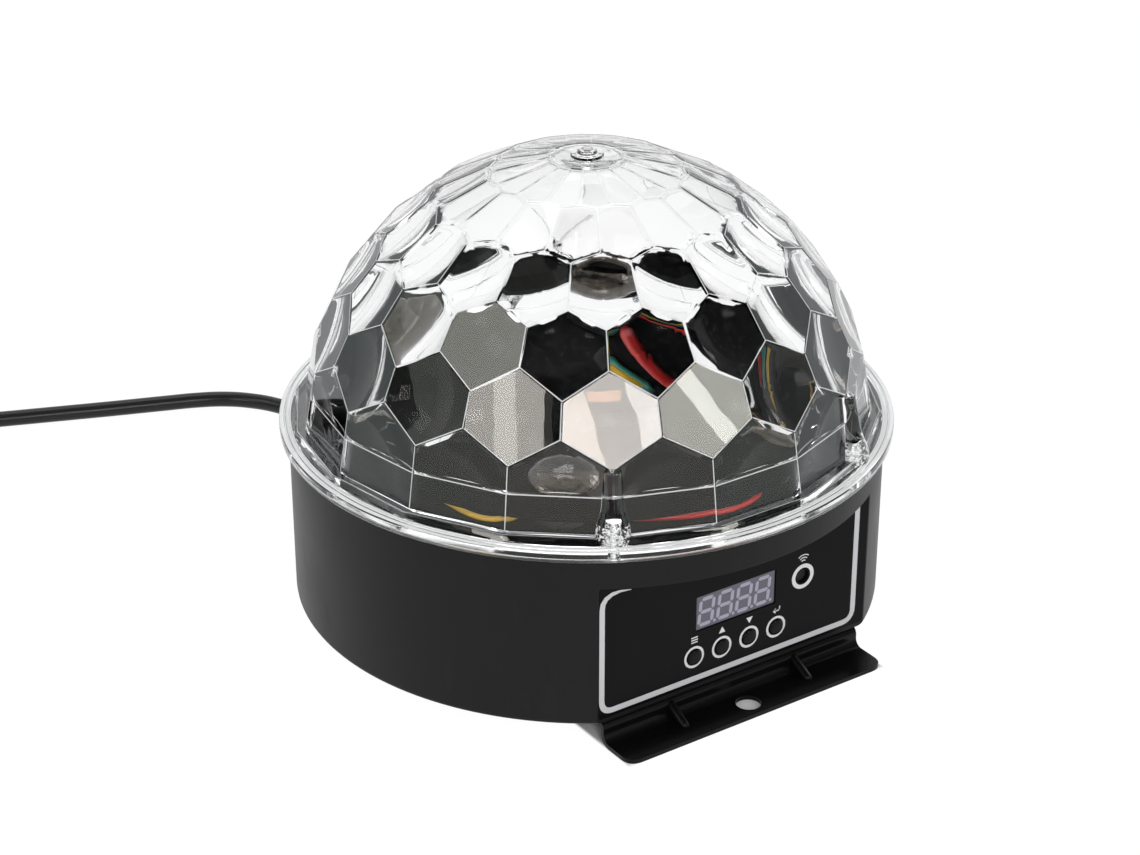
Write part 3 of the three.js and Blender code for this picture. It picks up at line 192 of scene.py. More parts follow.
def turned(profile, steps=64, place=None, rounding=4):
    shape = bmesh.new()
    line = softened(profile, rounding)
    rings = []
    for radius, height in line:
        if radius < 1e-6:
            rings.append([shape.verts.new((0, 0, height))])
        else:
            rings.append([shape.verts.new((radius * math.cos(k * fullTurn / steps),
                                           radius * math.sin(k * fullTurn / steps), height))
                          for k in range(steps)])
    pairs = list(zip(rings, rings[1:]))
    if len(rings[0]) > 1:
        pairs.append((rings[-1], rings[0]))
    for low, high in pairs:
        for k in range(steps):
            corners = [low[k % len(low)], low[(k + 1) % steps % len(low)],
                       high[(k + 1) % steps % len(high)], high[k % len(high)]]
            corners = list(dict.fromkeys(corners))
            if len(corners) > 2:
                shape.faces.new(corners)
    return settled(shape, place)


def extruded(outline, low, high, place=None, rounding=4):
    shape = bmesh.new()
    line = softened(outline, rounding, True)
    bottom = [shape.verts.new((x, y, low)) for x, y in line]
    top = [shape.verts.new((x, y, high)) for x, y in line]
    shape.faces.new(bottom)
    shape.faces.new(top)
    for k in range(len(line)):
        j = (k + 1) % len(line)
        shape.faces.new([bottom[k], bottom[j], top[j], top[k]])
    return settled(shape, place)


def settled(shape, place=None):
    if place is not None:
        bmesh.ops.transform(shape, matrix=place, verts=shape.verts)
    bmesh.ops.recalc_face_normals(shape, faces=shape.faces)
    return shape


def rectangle(width, height, corner=0.0, x=0.0, y=0.0):
    w, h = width / 2, height / 2
    return [(x - w, y - h, corner), (x + w, y - h, corner), (x + w, y + h, corner), (x - w, y + h, corner)]


def block(x0, x1, y0, y1, z0, z1):
    return extruded([(x0, y0), (x1, y0), (x1, y1), (x0, y1)], z0, z1)


def drum(radius, low, high, steps=64, place=None):
    return turned([(0, low), (radius, low), (radius, high), (0, high)], steps, place)


def moved(x=0.0, y=0.0, z=0.0):
    return Matrix.Translation((x, y, z))


def onWall(x, z, y=0.0):  # for a shape turned or extruded outwards through the front or rear flat
    return moved(x, y, z) @ alongY


def turnedZ(angle):
    return Matrix.Rotation(angle, 4, "Z")


def onRing(radius, angle):  # the angle is from the panel's normal towards +X
    return radius * math.sin(angle), -radius * math.cos(angle)


def fourWays(angle):  # mirrored front to back and side to side
    return [math.radians(a) for a in (-angle, angle, 180 - angle, 180 + angle)]


def together(*shapes):
    whole = bmesh.new()
    for shape in shapes:
        mesh = bpy.data.meshes.new("share")
        shape.to_mesh(mesh)
        shape.free()
        whole.from_mesh(mesh)
        bpy.data.meshes.remove(mesh)
    return whole


def tinted(shape, index):  # which of the piece's finishes these faces take
    for face in shape.faces:
        face.material_index = index
    return shape


def asObject(shape, name):
    mesh = bpy.data.meshes.new(name)
    shape.to_mesh(mesh)
    shape.free()
    made = bpy.data.objects.new(name, mesh)
    scene.collection.objects.link(made)
    return made


def asShape(made):
    shape = bmesh.new()
    shape.from_mesh(made.data)
    bpy.data.objects.remove(made)
    return shape


def applied(made):
    old = made.data
    graph = bpy.context.evaluated_depsgraph_get()
    made.data = bpy.data.meshes.new_from_object(made.evaluated_get(graph))
    made.modifiers.clear()
    bpy.data.meshes.remove(old)
    return made


def bevelled(made, width, segments=2, angle=35):
    edge = made.modifiers.new("edge", "BEVEL")
    edge.width = width
    edge.segments = segments
    edge.limit_method = "ANGLE"
    edge.angle_limit = math.radians(angle)
    return applied(made)


def carved(made, *tools, operation="DIFFERENCE"):
    for tool in tools:
        change = made.modifiers.new("carve", "BOOLEAN")
        change.operation = operation
        change.solver = "EXACT"
        change.object = tool if isinstance(tool, bpy.types.Object) else asObject(tool, "tool")
    used = [change.object for change in made.modifiers]
    applied(made)
    for tool in used:
        bpy.data.objects.remove(tool)
    return made


# Edges rounded, normals weighted, made metres, dressed and hung on its body
def finished(made, finishes, body, nodes=(), bevel=0.0, sharp=32, weighted=True):
    if bevel:
        bevelled(made, bevel)
    if weighted:
        made.data.shade_smooth()
        made.data.set_sharp_from_angle(angle=math.radians(sharp))
        made.modifiers.new("normals", "WEIGHTED_NORMAL").keep_sharp = True
        applied(made)
    mesh = made.data
    mesh.transform(Matrix.Scale(mm, 4))
    indices = [face.material_index for face in mesh.polygons]  # clearing the list forgets them
    mesh.materials.clear()
    for finish in finishes if isinstance(finishes, (list, tuple)) else [finishes]:
        mesh.materials.append(finish)
    mesh.polygons.foreach_set("material_index", [min(i, len(mesh.materials) - 1) for i in indices])
    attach(made, body)
    if nodes:
        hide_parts(*([nodes] if isinstance(nodes, str) else nodes))
    return made


# Finishes, lengths in millimetres. What one doesn't set comes from the usual settings of its maker
plasticUsual = {"dust": 0.3, "grain": 0.3, "fine": 3.0, "depth": 0.02, "cloud": 12, "rub": 6,
                "roughChange": 0.1}
clearUsual = {"colour": 1.0, "shade": (0.93, 0.94, 0.95), "speck": 0.2, "speckRough": 0.08, "rough": 0.0,
              "index": 1.49, "flow": 4, "wave": 0.006, "film": 0.0, "filmIndex": 1.33, "hazeReach": 110,
              "hazeFrom": 0.96, "haze": 0.0, "through": 1.0, "mirror": 1.0}


def mouldedPlastic(name, own):
    s = {**plasticUsual, **own}
    finish = Finish(name)
    where = finish.place()
    grain = finish.noise(where, s["grain"], s["fine"], 0.6)
    cloud = finish.noise(where, s["cloud"])
    rub = finish.ramp(finish.noise(where * (1.0, 1.0, 0.35), s["rub"], 4.0, 0.65), (0.58, 0), (0.72, 1))
    return finish.done(finish.surface({
        "Base Color": finish.blend(cloud * 0.8 + rub * s["dust"], s["dark"], s["light"]),
        "Roughness": s["rough"] + (cloud - 0.5) * s["roughChange"] + rub * 0.06,
        "Specular IOR Level": s["specular"], "Normal": finish.bump(grain, s["depth"], 0.6)}))


def paintedSteel(name, s):
    finish = Finish(name)
    where = finish.place()
    peel = finish.noise(where, s["peel"])
    chips = finish.ramp(finish.noise(where, s["chip"], 5.0, 0.75), (s["chipFrom"], 0),
                        (s["chipFrom"] + 0.03, 1))
    cloud = finish.noise(where, 22)
    return finish.done(finish.surface({
        "Base Color": finish.blend(chips, finish.blend(cloud, s["dark"], s["light"]), s["bare"]),
        "Metallic": chips * 0.8, "Roughness": s["rough"] + (cloud - 0.5) * 0.1 + chips * 0.2,
        "Specular IOR Level": s["specular"], "Normal": finish.bump(peel - chips * 0.6, 0.03, 0.7)}))


def brushedMetal(name, s):
    finish = Finish(name)
    where = finish.place()
    lines = finish.noise(where * s["stretch"], s["line"], 3.0, 0.6)
    return finish.done(finish.surface({
        "Base Color": finish.blend(lines * 0.6 + finish.noise(where, 6) * 0.4, s["dark"], s["light"]),
        "Metallic": 1.0, "Roughness": s["rough"] + (lines - 0.5) * 0.12,
        "Normal": finish.bump(lines, s["depth"], 0.5)}))


# Clear mouldings let lamp light through to what they cover
def lettingLightIn(finish, body, shade):
    clear = finish.node("BsdfTransparent", {}, {"Color": tone(shade)})
    shadow = finish.node("LightPath", output="Is Shadow Ray")
    return finish.done(finish.node("MixShader", {}, {0: shadow, 1: body, 2: clear}))


def clearPlastic(name, own):
    s = {**clearUsual, **own}
    finish = Finish(name)
    where = finish.place()
    across = finish.node("VectorMath", {"operation": "LENGTH"}, {0: where * (1.0, 1.0, 0.0)}, "Value")
    haze = finish.ramp(across / s["hazeReach"], (s["hazeFrom"], 0), (s["hazeFrom"] + 0.02, s["haze"]))
    specks = finish.ramp(finish.noise(where, s["speck"], 0.0), (0.80, 0), (0.85, 1))
    flow = finish.noise(where * (1.0, 1.0, 0.3), s["flow"], 1.0)
    return lettingLightIn(finish, finish.surface({
        "Base Color": tone(s["colour"]), "Roughness": specks * s["speckRough"] + haze + s["rough"],
        "IOR": s["index"], "Transmission Weight": s["through"], "Thin Film Thickness": s["film"],
        "Thin Film IOR": s["filmIndex"], "Specular Tint": tone(s["mirror"]),
        "Normal": finish.bump(flow, s["wave"], 0.3)}), s["shade"])


# Clear foot with broken white painted in: a painted highlight and painted refraction of the white
# surroundings
def bossPlastic(name, s):
    finish = Finish(name)
    broken = finish.noise(finish.place() * (1.0, 1.0, 1.8), s["size"], 2.0, 0.6)
    paintedGlints = finish.ramp(broken, (s["from"], 0), (s["from"] + 0.05, s["share"]))
    rough = finish.bump(broken, s["depth"], 0.8)
    clear = finish.surface({"Base Color": tone(1.0), "Roughness": broken * 0.12, "IOR": 1.49,
                            "Transmission Weight": 1.0, "Normal": rough})
    # pale white that paints the glints and the refracted white surroundings
    pale = finish.surface({"Base Color": tone(0.95), "Roughness": 0.3, "Normal": rough})
    return lettingLightIn(finish, finish.node("MixShader", {}, {0: paintedGlints, 1: clear, 2: pale}), 0.85)


def plainInk(name, colour, rough, grain=0.25):
    finish = Finish(name)
    spread = finish.noise(finish.place(), grain, 3.0, 0.7)
    return finish.done(finish.surface({
        "Base Color": finish.blend(spread * 0.5, colour, [c * 0.82 for c in colour]),
        "Roughness": rough + (spread - 0.5) * 0.1, "Normal": finish.bump(spread, 0.01, 0.4)}))


housingBlack = mouldedPlastic("housingBlack", {
    "dark": (0.0072, 0.0071, 0.0072), "light": (0.0125, 0.0121, 0.0122), "dust": 0.5, "grain": 0.28,
    "cloud": 26, "rub": 9, "rough": 0.4, "roughChange": 0.12, "specular": 0.15})
wheelBlack = mouldedPlastic("wheelBlack", {
    "dark": (0.003, 0.003, 0.0033), "light": (0.005, 0.005, 0.0055), "grain": 2.4, "fine": 0.0,
    "depth": 0.002, "cloud": 30, "rub": 12, "rough": 0.5, "specular": 0.008})
deckBlack = mouldedPlastic("deckBlack", {
    "dark": (0.003, 0.003, 0.0033), "light": (0.006, 0.006, 0.0066), "grain": 2.4, "fine": 0.0,
    "depth": 0.002, "cloud": 30, "rub": 12, "rough": 0.55, "specular": 0.008})
panelGloss = mouldedPlastic("panelGloss", {
    "dark": (0.003, 0.003, 0.0034), "light": (0.005, 0.005, 0.0054), "dust": 0.25, "grain": 0.5,
    "depth": 0.006, "cloud": 18, "rub": 7, "rough": 0.2, "roughChange": 0.08, "specular": 0.07})
buttonGloss = mouldedPlastic("buttonGloss", {
    "dark": (0.004, 0.004, 0.004), "light": (0.008, 0.008, 0.008), "dust": 0.2,
    "depth": 0.004, "cloud": 5, "rub": 3, "rough": 0.16, "roughChange": 0.06, "specular": 0.1})
cordBlack = mouldedPlastic("cordBlack", {
    "dark": (0.0075, 0.0075, 0.0082), "light": (0.014, 0.014, 0.0152), "dust": 0.35, "grain": 0.35,
    "cloud": 14, "rough": 0.3, "specular": 0.3})
glandBlack = mouldedPlastic("glandBlack", {
    "dark": (0.0075, 0.0075, 0.0078), "light": (0.014, 0.014, 0.0146), "dust": 0.4,
    "depth": 0.03, "cloud": 9, "rub": 5, "rough": 0.48, "roughChange": 0.12, "specular": 0.35})
socketBlack = mouldedPlastic("socketBlack", {
    "dark": (0.008, 0.008, 0.0085), "light": (0.014, 0.014, 0.015), "rough": 0.36, "specular": 0.45})
switchDark = mouldedPlastic("switchDark", {
    "dark": (0.03, 0.03, 0.032), "light": (0.05, 0.05, 0.052), "grain": 0.2, "cloud": 4, "rub": 3,
    "rough": 0.5, "specular": 0.4})
bracketBlack = paintedSteel("bracketBlack", {
    "dark": (0.003, 0.0029, 0.0029), "light": (0.0055, 0.0053, 0.0053), "bare": (0.3, 0.29, 0.28),
    "peel": 0.8, "chip": 1.3, "chipFrom": 0.735, "rough": 0.22, "specular": 0.14})
plateGrey = paintedSteel("plateGrey", {
    "dark": (0.028, 0.028, 0.03), "light": (0.045, 0.045, 0.047), "bare": (0.45, 0.45, 0.45),
    "peel": 0.6, "chip": 1.2, "chipFrom": 0.74, "rough": 0.42, "specular": 0.5})
screwSteel = brushedMetal("screwSteel", {
    "dark": (0.36, 0.36, 0.37), "light": (0.66, 0.66, 0.67), "stretch": (1.0, 1.0, 4.0), "line": 0.25,
    "rough": 0.28, "depth": 0.01})
motorMetal = brushedMetal("motorMetal", {
    "dark": (0.42, 0.42, 0.42), "light": (0.62, 0.62, 0.62), "stretch": (1.0, 1.0, 8.0), "line": 0.6,
    "rough": 0.34, "depth": 0.02})
brassPins = brushedMetal("brassPins", {
    "dark": (0.6, 0.52, 0.36), "light": (0.8, 0.72, 0.5), "stretch": (1.0, 6.0, 1.0), "line": 0.3,
    "rough": 0.22, "depth": 0.008})
domeClear = clearPlastic("domeClear", {
    "speck": 0.22, "speckRough": 0.06, "flow": 7, "wave": 0.02, "film": 400.0, "filmIndex": 1.472,
    "hazeFrom": 0.885, "haze": 0.1})
domeInside = clearPlastic("domeInside", {
    "speck": 0.4, "speckRough": 0.05, "flow": 7, "wave": 0.01, "mirror": 0.12})
# Pale frosted finish that paints a highlight on the edge strips facing the light and on the ledge line
domeEdgePaintedHighlight = clearPlastic("domeEdgePaintedHighlight", {
    "colour": (0.95, 0.955, 0.96), "shade": 0.8, "speck": 0.22, "speckRough": 0.1, "rough": 0.3,
    "flow": 3, "wave": 0.02, "through": 0.3})
domeRim = clearPlastic("domeRim", {
    "colour": (0.95, 0.955, 0.96), "shade": (0.85, 0.86, 0.87), "speck": 1.2, "speckRough": 0.2,
    "rough": 0.12, "flow": 2, "wave": 0.03, "through": 0.2})
bossClear = bossPlastic("bossClear", {"size": 1.1, "from": 0.49, "share": 0.9, "depth": 0.25})
lensClear = clearPlastic("lensClear", {
    "colour": (0.985, 0.995, 1.0), "shade": (0.9, 0.92, 0.93), "index": 1.52, "film": 520.0,
    "filmIndex": 1.42})
lensSmoky = clearPlastic("lensSmoky", {
    "colour": (0.06, 0.05, 0.038), "shade": (0.7, 0.68, 0.65), "index": 1.52})
printWhite = plainInk("printWhite", (0.82, 0.82, 0.82), 0.4)
printSilver = plainInk("printSilver", (0.66, 0.66, 0.68), 0.32)
segmentPale = plainInk("segmentPale", (0.42, 0.4, 0.5), 0.35, 0.4)
displayFace = plainInk("displayFace", (0.118, 0.114, 0.152), 0.25, 0.6)
maskDark = plainInk("maskDark", (0.03, 0.029, 0.028), 0.3, 0.8)
emitterYellow = plainInk("emitterYellow", (0.82, 0.56, 0.05), 0.5, 0.3)
feltBlack = plainInk("feltBlack", (0.012, 0.012, 0.012), 0.9, 0.15)
print("finishes made")


# Cord: a listed free stretch, then a coil of two layers and a short tail to the plug
cord = {
    "radius": 3.0, "rest": 3.1, "lead": 6.0, "gap": 0.3, "pitch": 7.1, "middle": 34.5, "turns": 4.31,
    "softness": 0.16, "climb": 0.25, "perTurn": 24, "tailLevel": 24.0, "tailDrop": 16.0, "plugAxis": 6.9,
    "route": [(-17, 114.1, 20), (-17, 120.5, 20), (-17, 128.5, 18.7), (-16.9, 137, 15.2),
              (-16.7, 146, 10.3), (-16.4, 155, 6), (-16.5, 163, 3.7), (-17.3, 171, 3.1),
              (-21, 181.5, 3.1), (-27.6, 191.3, 3.1), (-35.6, 198.6, 3.1), (-45, 203.8, 3.1),
              (-55.4, 208, 3.1), (-75, 215.6, 3.1), (-98, 224.9, 3.1), (-122, 234.7, 3.1),
              (-145.5, 244.2, 3.1), (-155, 248.05, 3.1)]}


def smoothly(value, low, high):
    t = min(max((value - low) / (high - low), 0), 1)
    return t * t * (3 - 2 * t)


def cordLine():
    route = [Vector(point) for point in cord["route"]]
    heading = (route[-1] - route[-2]).normalized()
    outer = cord["middle"] + cord["pitch"] * cord["turns"] / 4
    inner = outer - cord["pitch"] * cord["turns"] / 2
    angle0 = math.atan2(-heading.x, heading.y)
    start = route[-1] + heading * (cord["lead"] + cord["gap"])
    centre = start - Vector((math.cos(angle0), math.sin(angle0), 0)) * outer
    half = cord["turns"] / 2

    def onCoil(turns):
        away = math.sqrt((turns - half) ** 2 + cord["softness"] ** 2) - cord["softness"]
        radius = inner + cord["pitch"] * away
        angle = angle0 + turns * fullTurn
        climb = smoothly(turns, half - cord["climb"], half + cord["climb"])
        return Vector((centre.x + radius * math.cos(angle), centre.y + radius * math.sin(angle),
                       cord["rest"] + cord["pitch"] * climb))

    line = route + [route[-1] + heading * (cord["gap"] + cord["lead"] * k / 3) for k in range(1, 3)]
    steps = round(cord["turns"] * cord["perTurn"])
    line.append(Vector((*onCoil(0).xy, cord["rest"])))
    line += [onCoil(cord["turns"] * k / steps) for k in range(1, steps + 1)]
    end = line[-1]
    away = end - onCoil(cord["turns"] - 1 / cord["perTurn"] / 4)
    away = Vector((away.x, away.y, 0)).normalized()
    run = cord["tailLevel"] + cord["tailDrop"]
    for k in range(1, 7):
        along = run * k / 6
        point = end + away * along
        point.z = end.z + (cord["plugAxis"] - end.z) * smoothly(along, cord["tailLevel"], run)
        line.append(point)
    last = line[-1]
    line += [last + away * cord["radius"], last + away * 2 * cord["radius"]]
    return line, away


cordPath, plugHeading = cordLine()


def curvePiece(name, points, radius, finish, body, resolution=5, sides=5):
    data = bpy.data.curves.new(name, "CURVE")
    data.dimensions = "3D"
    spline = data.splines.new("BEZIER")
    spline.bezier_points.add(len(points) - 1)
    for knot, point in zip(spline.bezier_points, points):
        knot.co = Vector(point) * mm
        knot.handle_left_type = knot.handle_right_type = "AUTO"
    spline.resolution_u = resolution
    data.bevel_depth = radius * mm
    data.bevel_resolution = sides
    data.use_fill_caps = True
    data.materials.append(finish)
    made = bpy.data.objects.new(name, data)
    scene.collection.objects.link(made)
    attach(made, body)
    return made


# Strain relief: collar against the housing, grooved taper
gland = {"x": -17, "z": 20, "wall": 83.8, "collar": 7.6, "collarLength": 2.4, "foot": 6.2, "tip": 4.0,
         "length": 30, "grooves": 5, "groove": 0.9, "share": 0.45, "neck": 5.0, "inner": 72.1}


def makeGland():
    wall = gland["wall"]
    tip = wall + gland["length"]
    foot = wall + gland["collarLength"]
    stride = (tip - foot) / (gland["grooves"] + 1)

    def radiusAt(y):
        return gland["foot"] + (gland["tip"] - gland["foot"]) * (y - foot) / (tip - foot)

    profile = [(0, gland["inner"]), (gland["neck"], gland["inner"], 0.5), (gland["neck"], wall),
               (gland["collar"], wall, 0.4), (gland["collar"], foot, 0.9), (radiusAt(foot), foot, 0.4)]
    for k in range(gland["grooves"]):
        y0 = foot + (k + 1 - gland["share"]) * stride
        y1 = y0 + gland["share"] * stride
        profile += [(radiusAt(y0), y0, 0.5), (radiusAt(y0) - gland["groove"], y0, 0.3),
                    (radiusAt(y1) - gland["groove"], y1, 0.3), (radiusAt(y1), y1, 0.5)]
    profile += [(gland["tip"], tip, 0.7), (cord["radius"] - 0.1, tip, 0.2), (cord["radius"] - 0.1, tip - 2),
                (0, tip - 2)]
    shape = turned(profile, 48, onWall(gland["x"], gland["z"]))
    return finished(asObject(shape, "cordGrommet"), glandBlack, "base", "cord_gland")


# Plug: a flat moulded body that widens away from the cord, with two round pins
plugBody = {"length": 36, "width": 34, "height": 13.6, "corner": 5, "crown": 3.4, "waist": 0.62,
            "waistEnd": 0.75, "neck": 5.0, "neckLength": 10, "sleeve": (3.2, 3.9, 4.4),
            "grips": (-9, -6, -3, 0, 3, 6, 9), "grip": (1.2, 11, 0.5), "gripDepth": 0.7, "gripY": 19,
            "pin": 2.0, "pinCore": 1.85, "pinSleeve": 9, "pinLength": 19, "pinSpacing": 19}


def makePlug():
    p = plugBody
    tall, face, root = p["height"] / 2, p["length"], -p["neckLength"]
    start = cordPath[-1] + plugHeading * (cord["gap"] + p["neckLength"])
    start.z = cord["plugAxis"]
    turn = moved(*start) @ turnedZ(math.atan2(-plugHeading.x, plugHeading.y))
    end, neck = p["width"] / 2, p["width"] * p["waist"] / 2
    side = []
    for k in range(9):  # from the cord's end out to the full width
        t = k / 8
        y = 2 * t * (1 - t) * face / 2 + t * t * face * p["waistEnd"]
        side.append((neck * (1 - t) ** 2 + neck * 2 * t * (1 - t) + end * t * t, y))
    side.append((end, face, p["corner"]))
    outline = side + [(-x, y, *rest) for x, y, *rest in reversed(side)]
    made = bevelled(asObject(extruded(outline, -tall, tall), "plugBody"), p["crown"], 5, 60)
    thin, middle, thick = p["sleeve"]
    sleeve = turned([(0, root), (thin, root, 0.4), (middle, root + 2, 0.3), (thick, root / 2, 0.3),
                     (p["neck"], 0), (p["neck"], 5), (0, 5)], 32, alongY)
    grips = [extruded(rectangle(*p["grip"], x, p["gripY"]), z - p["gripDepth"], z + p["gripDepth"])
             for x in p["grips"] for z in (-tall, tall)]
    carved(made, together(*grips))
    carved(made, sleeve, operation="UNION")
    pins, core, bare = [], p["pinCore"], face + p["pinSleeve"]
    for x in (-p["pinSpacing"] / 2, p["pinSpacing"] / 2):
        pins.append(tinted(turned([(0, face - 2), (core, face - 2), (core, bare), (p["pin"], bare),
                                   (p["pin"], face + p["pinLength"], 1.1), (0, face + p["pinLength"])],
                                  24, moved(x) @ alongY), 1))
        pins.append(turned([(core, face - 1), (p["pin"] + 0.02, face - 1, 0.1), (p["pin"] + 0.02, bare, 0.1),
                            (core, bare)], 24, moved(x) @ alongY))
    whole = settled(together(asShape(made), *pins), turn)
    return finished(asObject(whole, "mainsPlug"), [cordBlack, brassPins], "base", "plug")


def makeCord():
    made = curvePiece("mainsCord", cordPath, cord["radius"], cordBlack, "base", 6, 6)
    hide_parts("power_cord", "power_cord_coil")
    length = sum((after - before).length for before, after in zip(cordPath, cordPath[1:]))
    plug, relief = makePlug(), makeGland()
    print("cord", round(length), "mm")


makeCord()


# Studio: white surroundings, in reflections a dark room on the camera's side, soft lamps, a pale floor
studio = {
    "world": 0.3, "white": 1.08, "roomGlow": 0.02, "darkWay": (-30, 30), "darkShare": (0.1, 0.22),
    "patch": 0.085, "patchFrom": 0.5, "patchGlow": 1.0,
    "floor": 0.84, "floorSize": 3200, "floorSeen": 0.9, "shadowed": (52, 98),
    "lampDistance": 1350, "nearer": 20,
    # Azimuth from the panel's normal towards +X, elevation, width, height, radiance, aside, tilt
    "lamps": [
        ("lampFront", -24.5, 25.2, 300, 300, 10.2, -8, 0),
        ("lampLeft", -66.4, 23.6, 300, 360, 6.3, -126, 12),
        ("lampRight", 16.5, 20.6, 300, 360, 7.2, 0, 0),
        ("lampFarLeft", -108, 39, 620, 420, 2.9, 0, 0),
        ("lampTop", 150, 62, 700, 500, 2.4, 0, 0),
        ("lampFarRight", 92, 24, 300, 420, 4.0, 0, 0)],
    # Narrow lamps before the wide ones: lamp, aside, rise, width, height, tilt, radiance, colour
    "strips": [
        ("lampFront", -44, 0, 58, 300, 13, 6.5, (1.0, 0.94, 0.88)),
        ("lampFront", 50, 0, 58, 300, 11, 7.0, (0.92, 0.95, 1.0)),
        ("lampFront", -4, -20, 26, 9, -4, 6.0, (1.0, 0.55, 0.3)),
        ("lampLeft", -6, 0, 17, 360, 14, 4.0, (0.94, 0.97, 1.0)),
        ("lampRight", 4, 0, 14, 360, 16, 9.0, (0.96, 0.98, 1.0)),
        ("lampFarLeft", 268, 100, 46, 300, -14, 1.6, (0.95, 0.97, 1.0))]}


def wayTo(azimuth, elevation):
    a, e = math.radians(azimuth), math.radians(elevation)
    return Vector((math.cos(e) * math.sin(a), -math.cos(e) * math.cos(a), math.sin(e)))


def makeStudio():
    s = studio
    world = bpy.data.worlds.new("studio")
    scene.world = world
    air = Finish("studio", world)
    way = air.node("TexCoord", output="Generated")
    towards = air.node("VectorMath", {"operation": "DOT_PRODUCT"}, {0: way, 1: wayTo(*s["darkWay"])},
                       "Value")
    dark = air.ramp(towards, (s["darkShare"][0], 0), (s["darkShare"][1], 1))
    cells = air.node("TexVoronoi", {}, {"Vector": way, "Scale": 1 / s["patch"]}, "Color")
    patches = air.ramp(cells, (s["patchFrom"], 0), (0.8, 1)) * s["patchGlow"]
    mirrored = air.work("MINIMUM", air.node("LightPath", output="Glossy Depth"), 1.0)
    sharp = s["white"] - mirrored * dark * (s["white"] - s["roomGlow"] - patches)
    strength = s["world"] + seenRay(air) * (sharp - s["world"])
    shader = air.node("Background", {}, {"Color": (1, 1, 1, 1), "Strength": strength})
    output = air.tree.nodes.new("ShaderNodeOutputWorld")
    air.tree.links.new(shader.socket, output.inputs["Surface"])

    finish = Finish("floorPale")
    where = finish.place()
    paper = finish.surface({
        "Base Color": finish.blend(finish.noise(where, 120, 3.0), s["floor"], s["floor"] + 0.02),
        "Roughness": 0.9, "Specular IOR Level": 0.1})
    glow = finish.node("Emission", {}, {"Color": (1, 1, 1, 1), "Strength": s["white"]})
    under = 0.0
    for axis, reach in zip(("X", "Y"), s["shadowed"]):
        along = finish.node("SeparateXYZ", {}, {"Vector": where}, axis)
        apart = finish.node("Math", {"operation": "ABSOLUTE"}, {0: along})
        under = finish.work("MAXIMUM", apart / reach, under)
    bare = finish.ramp(under * 0.5, (0.49, 0.0), (0.5, 1.0))  # no glow where the foot hides the floor
    shader = finish.node("MixShader", {}, {0: seenRay(finish) * bare * s["floorSeen"], 1: paper, 2: glow})
    sheet = bmesh.new()
    bmesh.ops.create_grid(sheet, x_segments=16, y_segments=16, size=s["floorSize"] / 2 * mm)
    floor = asObject(sheet, "floor")
    floor.data.materials.append(finish.done(shader))

    ways = {}
    for name, azimuth, elevation, *rest in s["lamps"]:
        ways[name] = (azimuth, elevation)
        hangLamp(name, azimuth, elevation, *rest)
    for k, (name, aside, rise, width, tall, tilt, radiance, colour) in enumerate(s["strips"]):
        hangLamp(f"lampStrip{k + 1}", *ways[name], width, tall, radiance, aside, tilt, s["nearer"], rise,
                 colour)


def hangLamp(name, azimuth, elevation, width, tall, radiance, aside, tilt, nearer=0, rise=0,
             colour=(1, 1, 1)):
    data = bpy.data.lights.new(name, "AREA")
    data.shape = "RECTANGLE"
    data.size, data.size_y = width * mm, tall * mm
    data.energy = radiance * 4 * data.size * data.size_y
    data.color = colour
    made = bpy.data.objects.new(name, data)
    scene.collection.objects.link(made)
    away = wayTo(azimuth, elevation)
    across = Vector((math.cos(math.radians(azimuth)), math.sin(math.radians(azimuth)), 0))
    spot = onDome(azimuth, elevation) + away * (studio["lampDistance"] - nearer) + across * aside
    spot += away.cross(across).normalized() * -rise
    made.location = spot * mm
    turn = away.to_track_quat("Z", "Y") @ Quaternion((0, 0, 1), math.radians(tilt))
    made.rotation_euler = turn.to_euler()


# The spot on the dome's sphere where a look from the camera's place is mirrored this way
def onDome(azimuth, elevation):
    centre = Vector((0, 0, sphere["height"]))
    spot = centre
    for k in range(4):
        towards = (Vector(view["place"]) - spot).normalized()
        spot = centre + (towards + wayTo(azimuth, elevation)).normalized() * sphere["radius"]
    return spot


def seenRay(finish):  # 1 on a ray that no matt surface has scattered, 0 where light is gathered
    seen = 0.0
    for name in ("Is Camera Ray", "Is Glossy Ray", "Is Transmission Ray"):
        seen = finish.work("MAXIMUM", finish.node("LightPath", output=name), seen)
    matt = finish.work("MINIMUM", finish.node("LightPath", output="Diffuse Depth"), 1.0)
    return seen * (1 - matt)


makeStudio()
print("studio set")


# Housing: round shell, its upper band over two flats
housing = {"bottom": 8.5, "top": 68.0, "radius": 99.5, "wall": 2.4, "flat": 83.5, "band": 57.5,
           "lipTop": 65.7, "lipBottom": 62.7, "lipWidth": 10, "edge": 1.8, "steps": 180,
           "postAngles": (60, -60, 120, 240), "postRing": 92.1, "post": 4.0, "postHole": 1.8,
           "bossAngles": (30, -30, 150, 210), "bossRing": 94.2, "screwHole": 1.8, "postFoot": 10.3,
           "postHoleSpan": (8.3, 22.3)}
panel = {"displayZ": 35.7, "displayWidth": 32.4, "displayHeight": 13,
         "buttons": (-16.5, -5.5, 5.5, 16.5), "buttonZ": 20.5, "button": 2.7, "proud": 1.1,
         "microphoneX": 27, "microphoneZ": 35.9, "microphone": 2.5}
rear = {"sockets": (9, 37), "socketZ": 41.5, "barrel": 11.3}


def flattened(radius, flat, low, high, steps):
    shape = asObject(drum(radius, low, high, steps), "drum")
    reach = 2 * radius
    return carved(shape, together(block(-reach, reach, -reach, -flat, low - 2, high + 2),
                                  block(-reach, reach, flat, reach, low - 2, high + 2)))


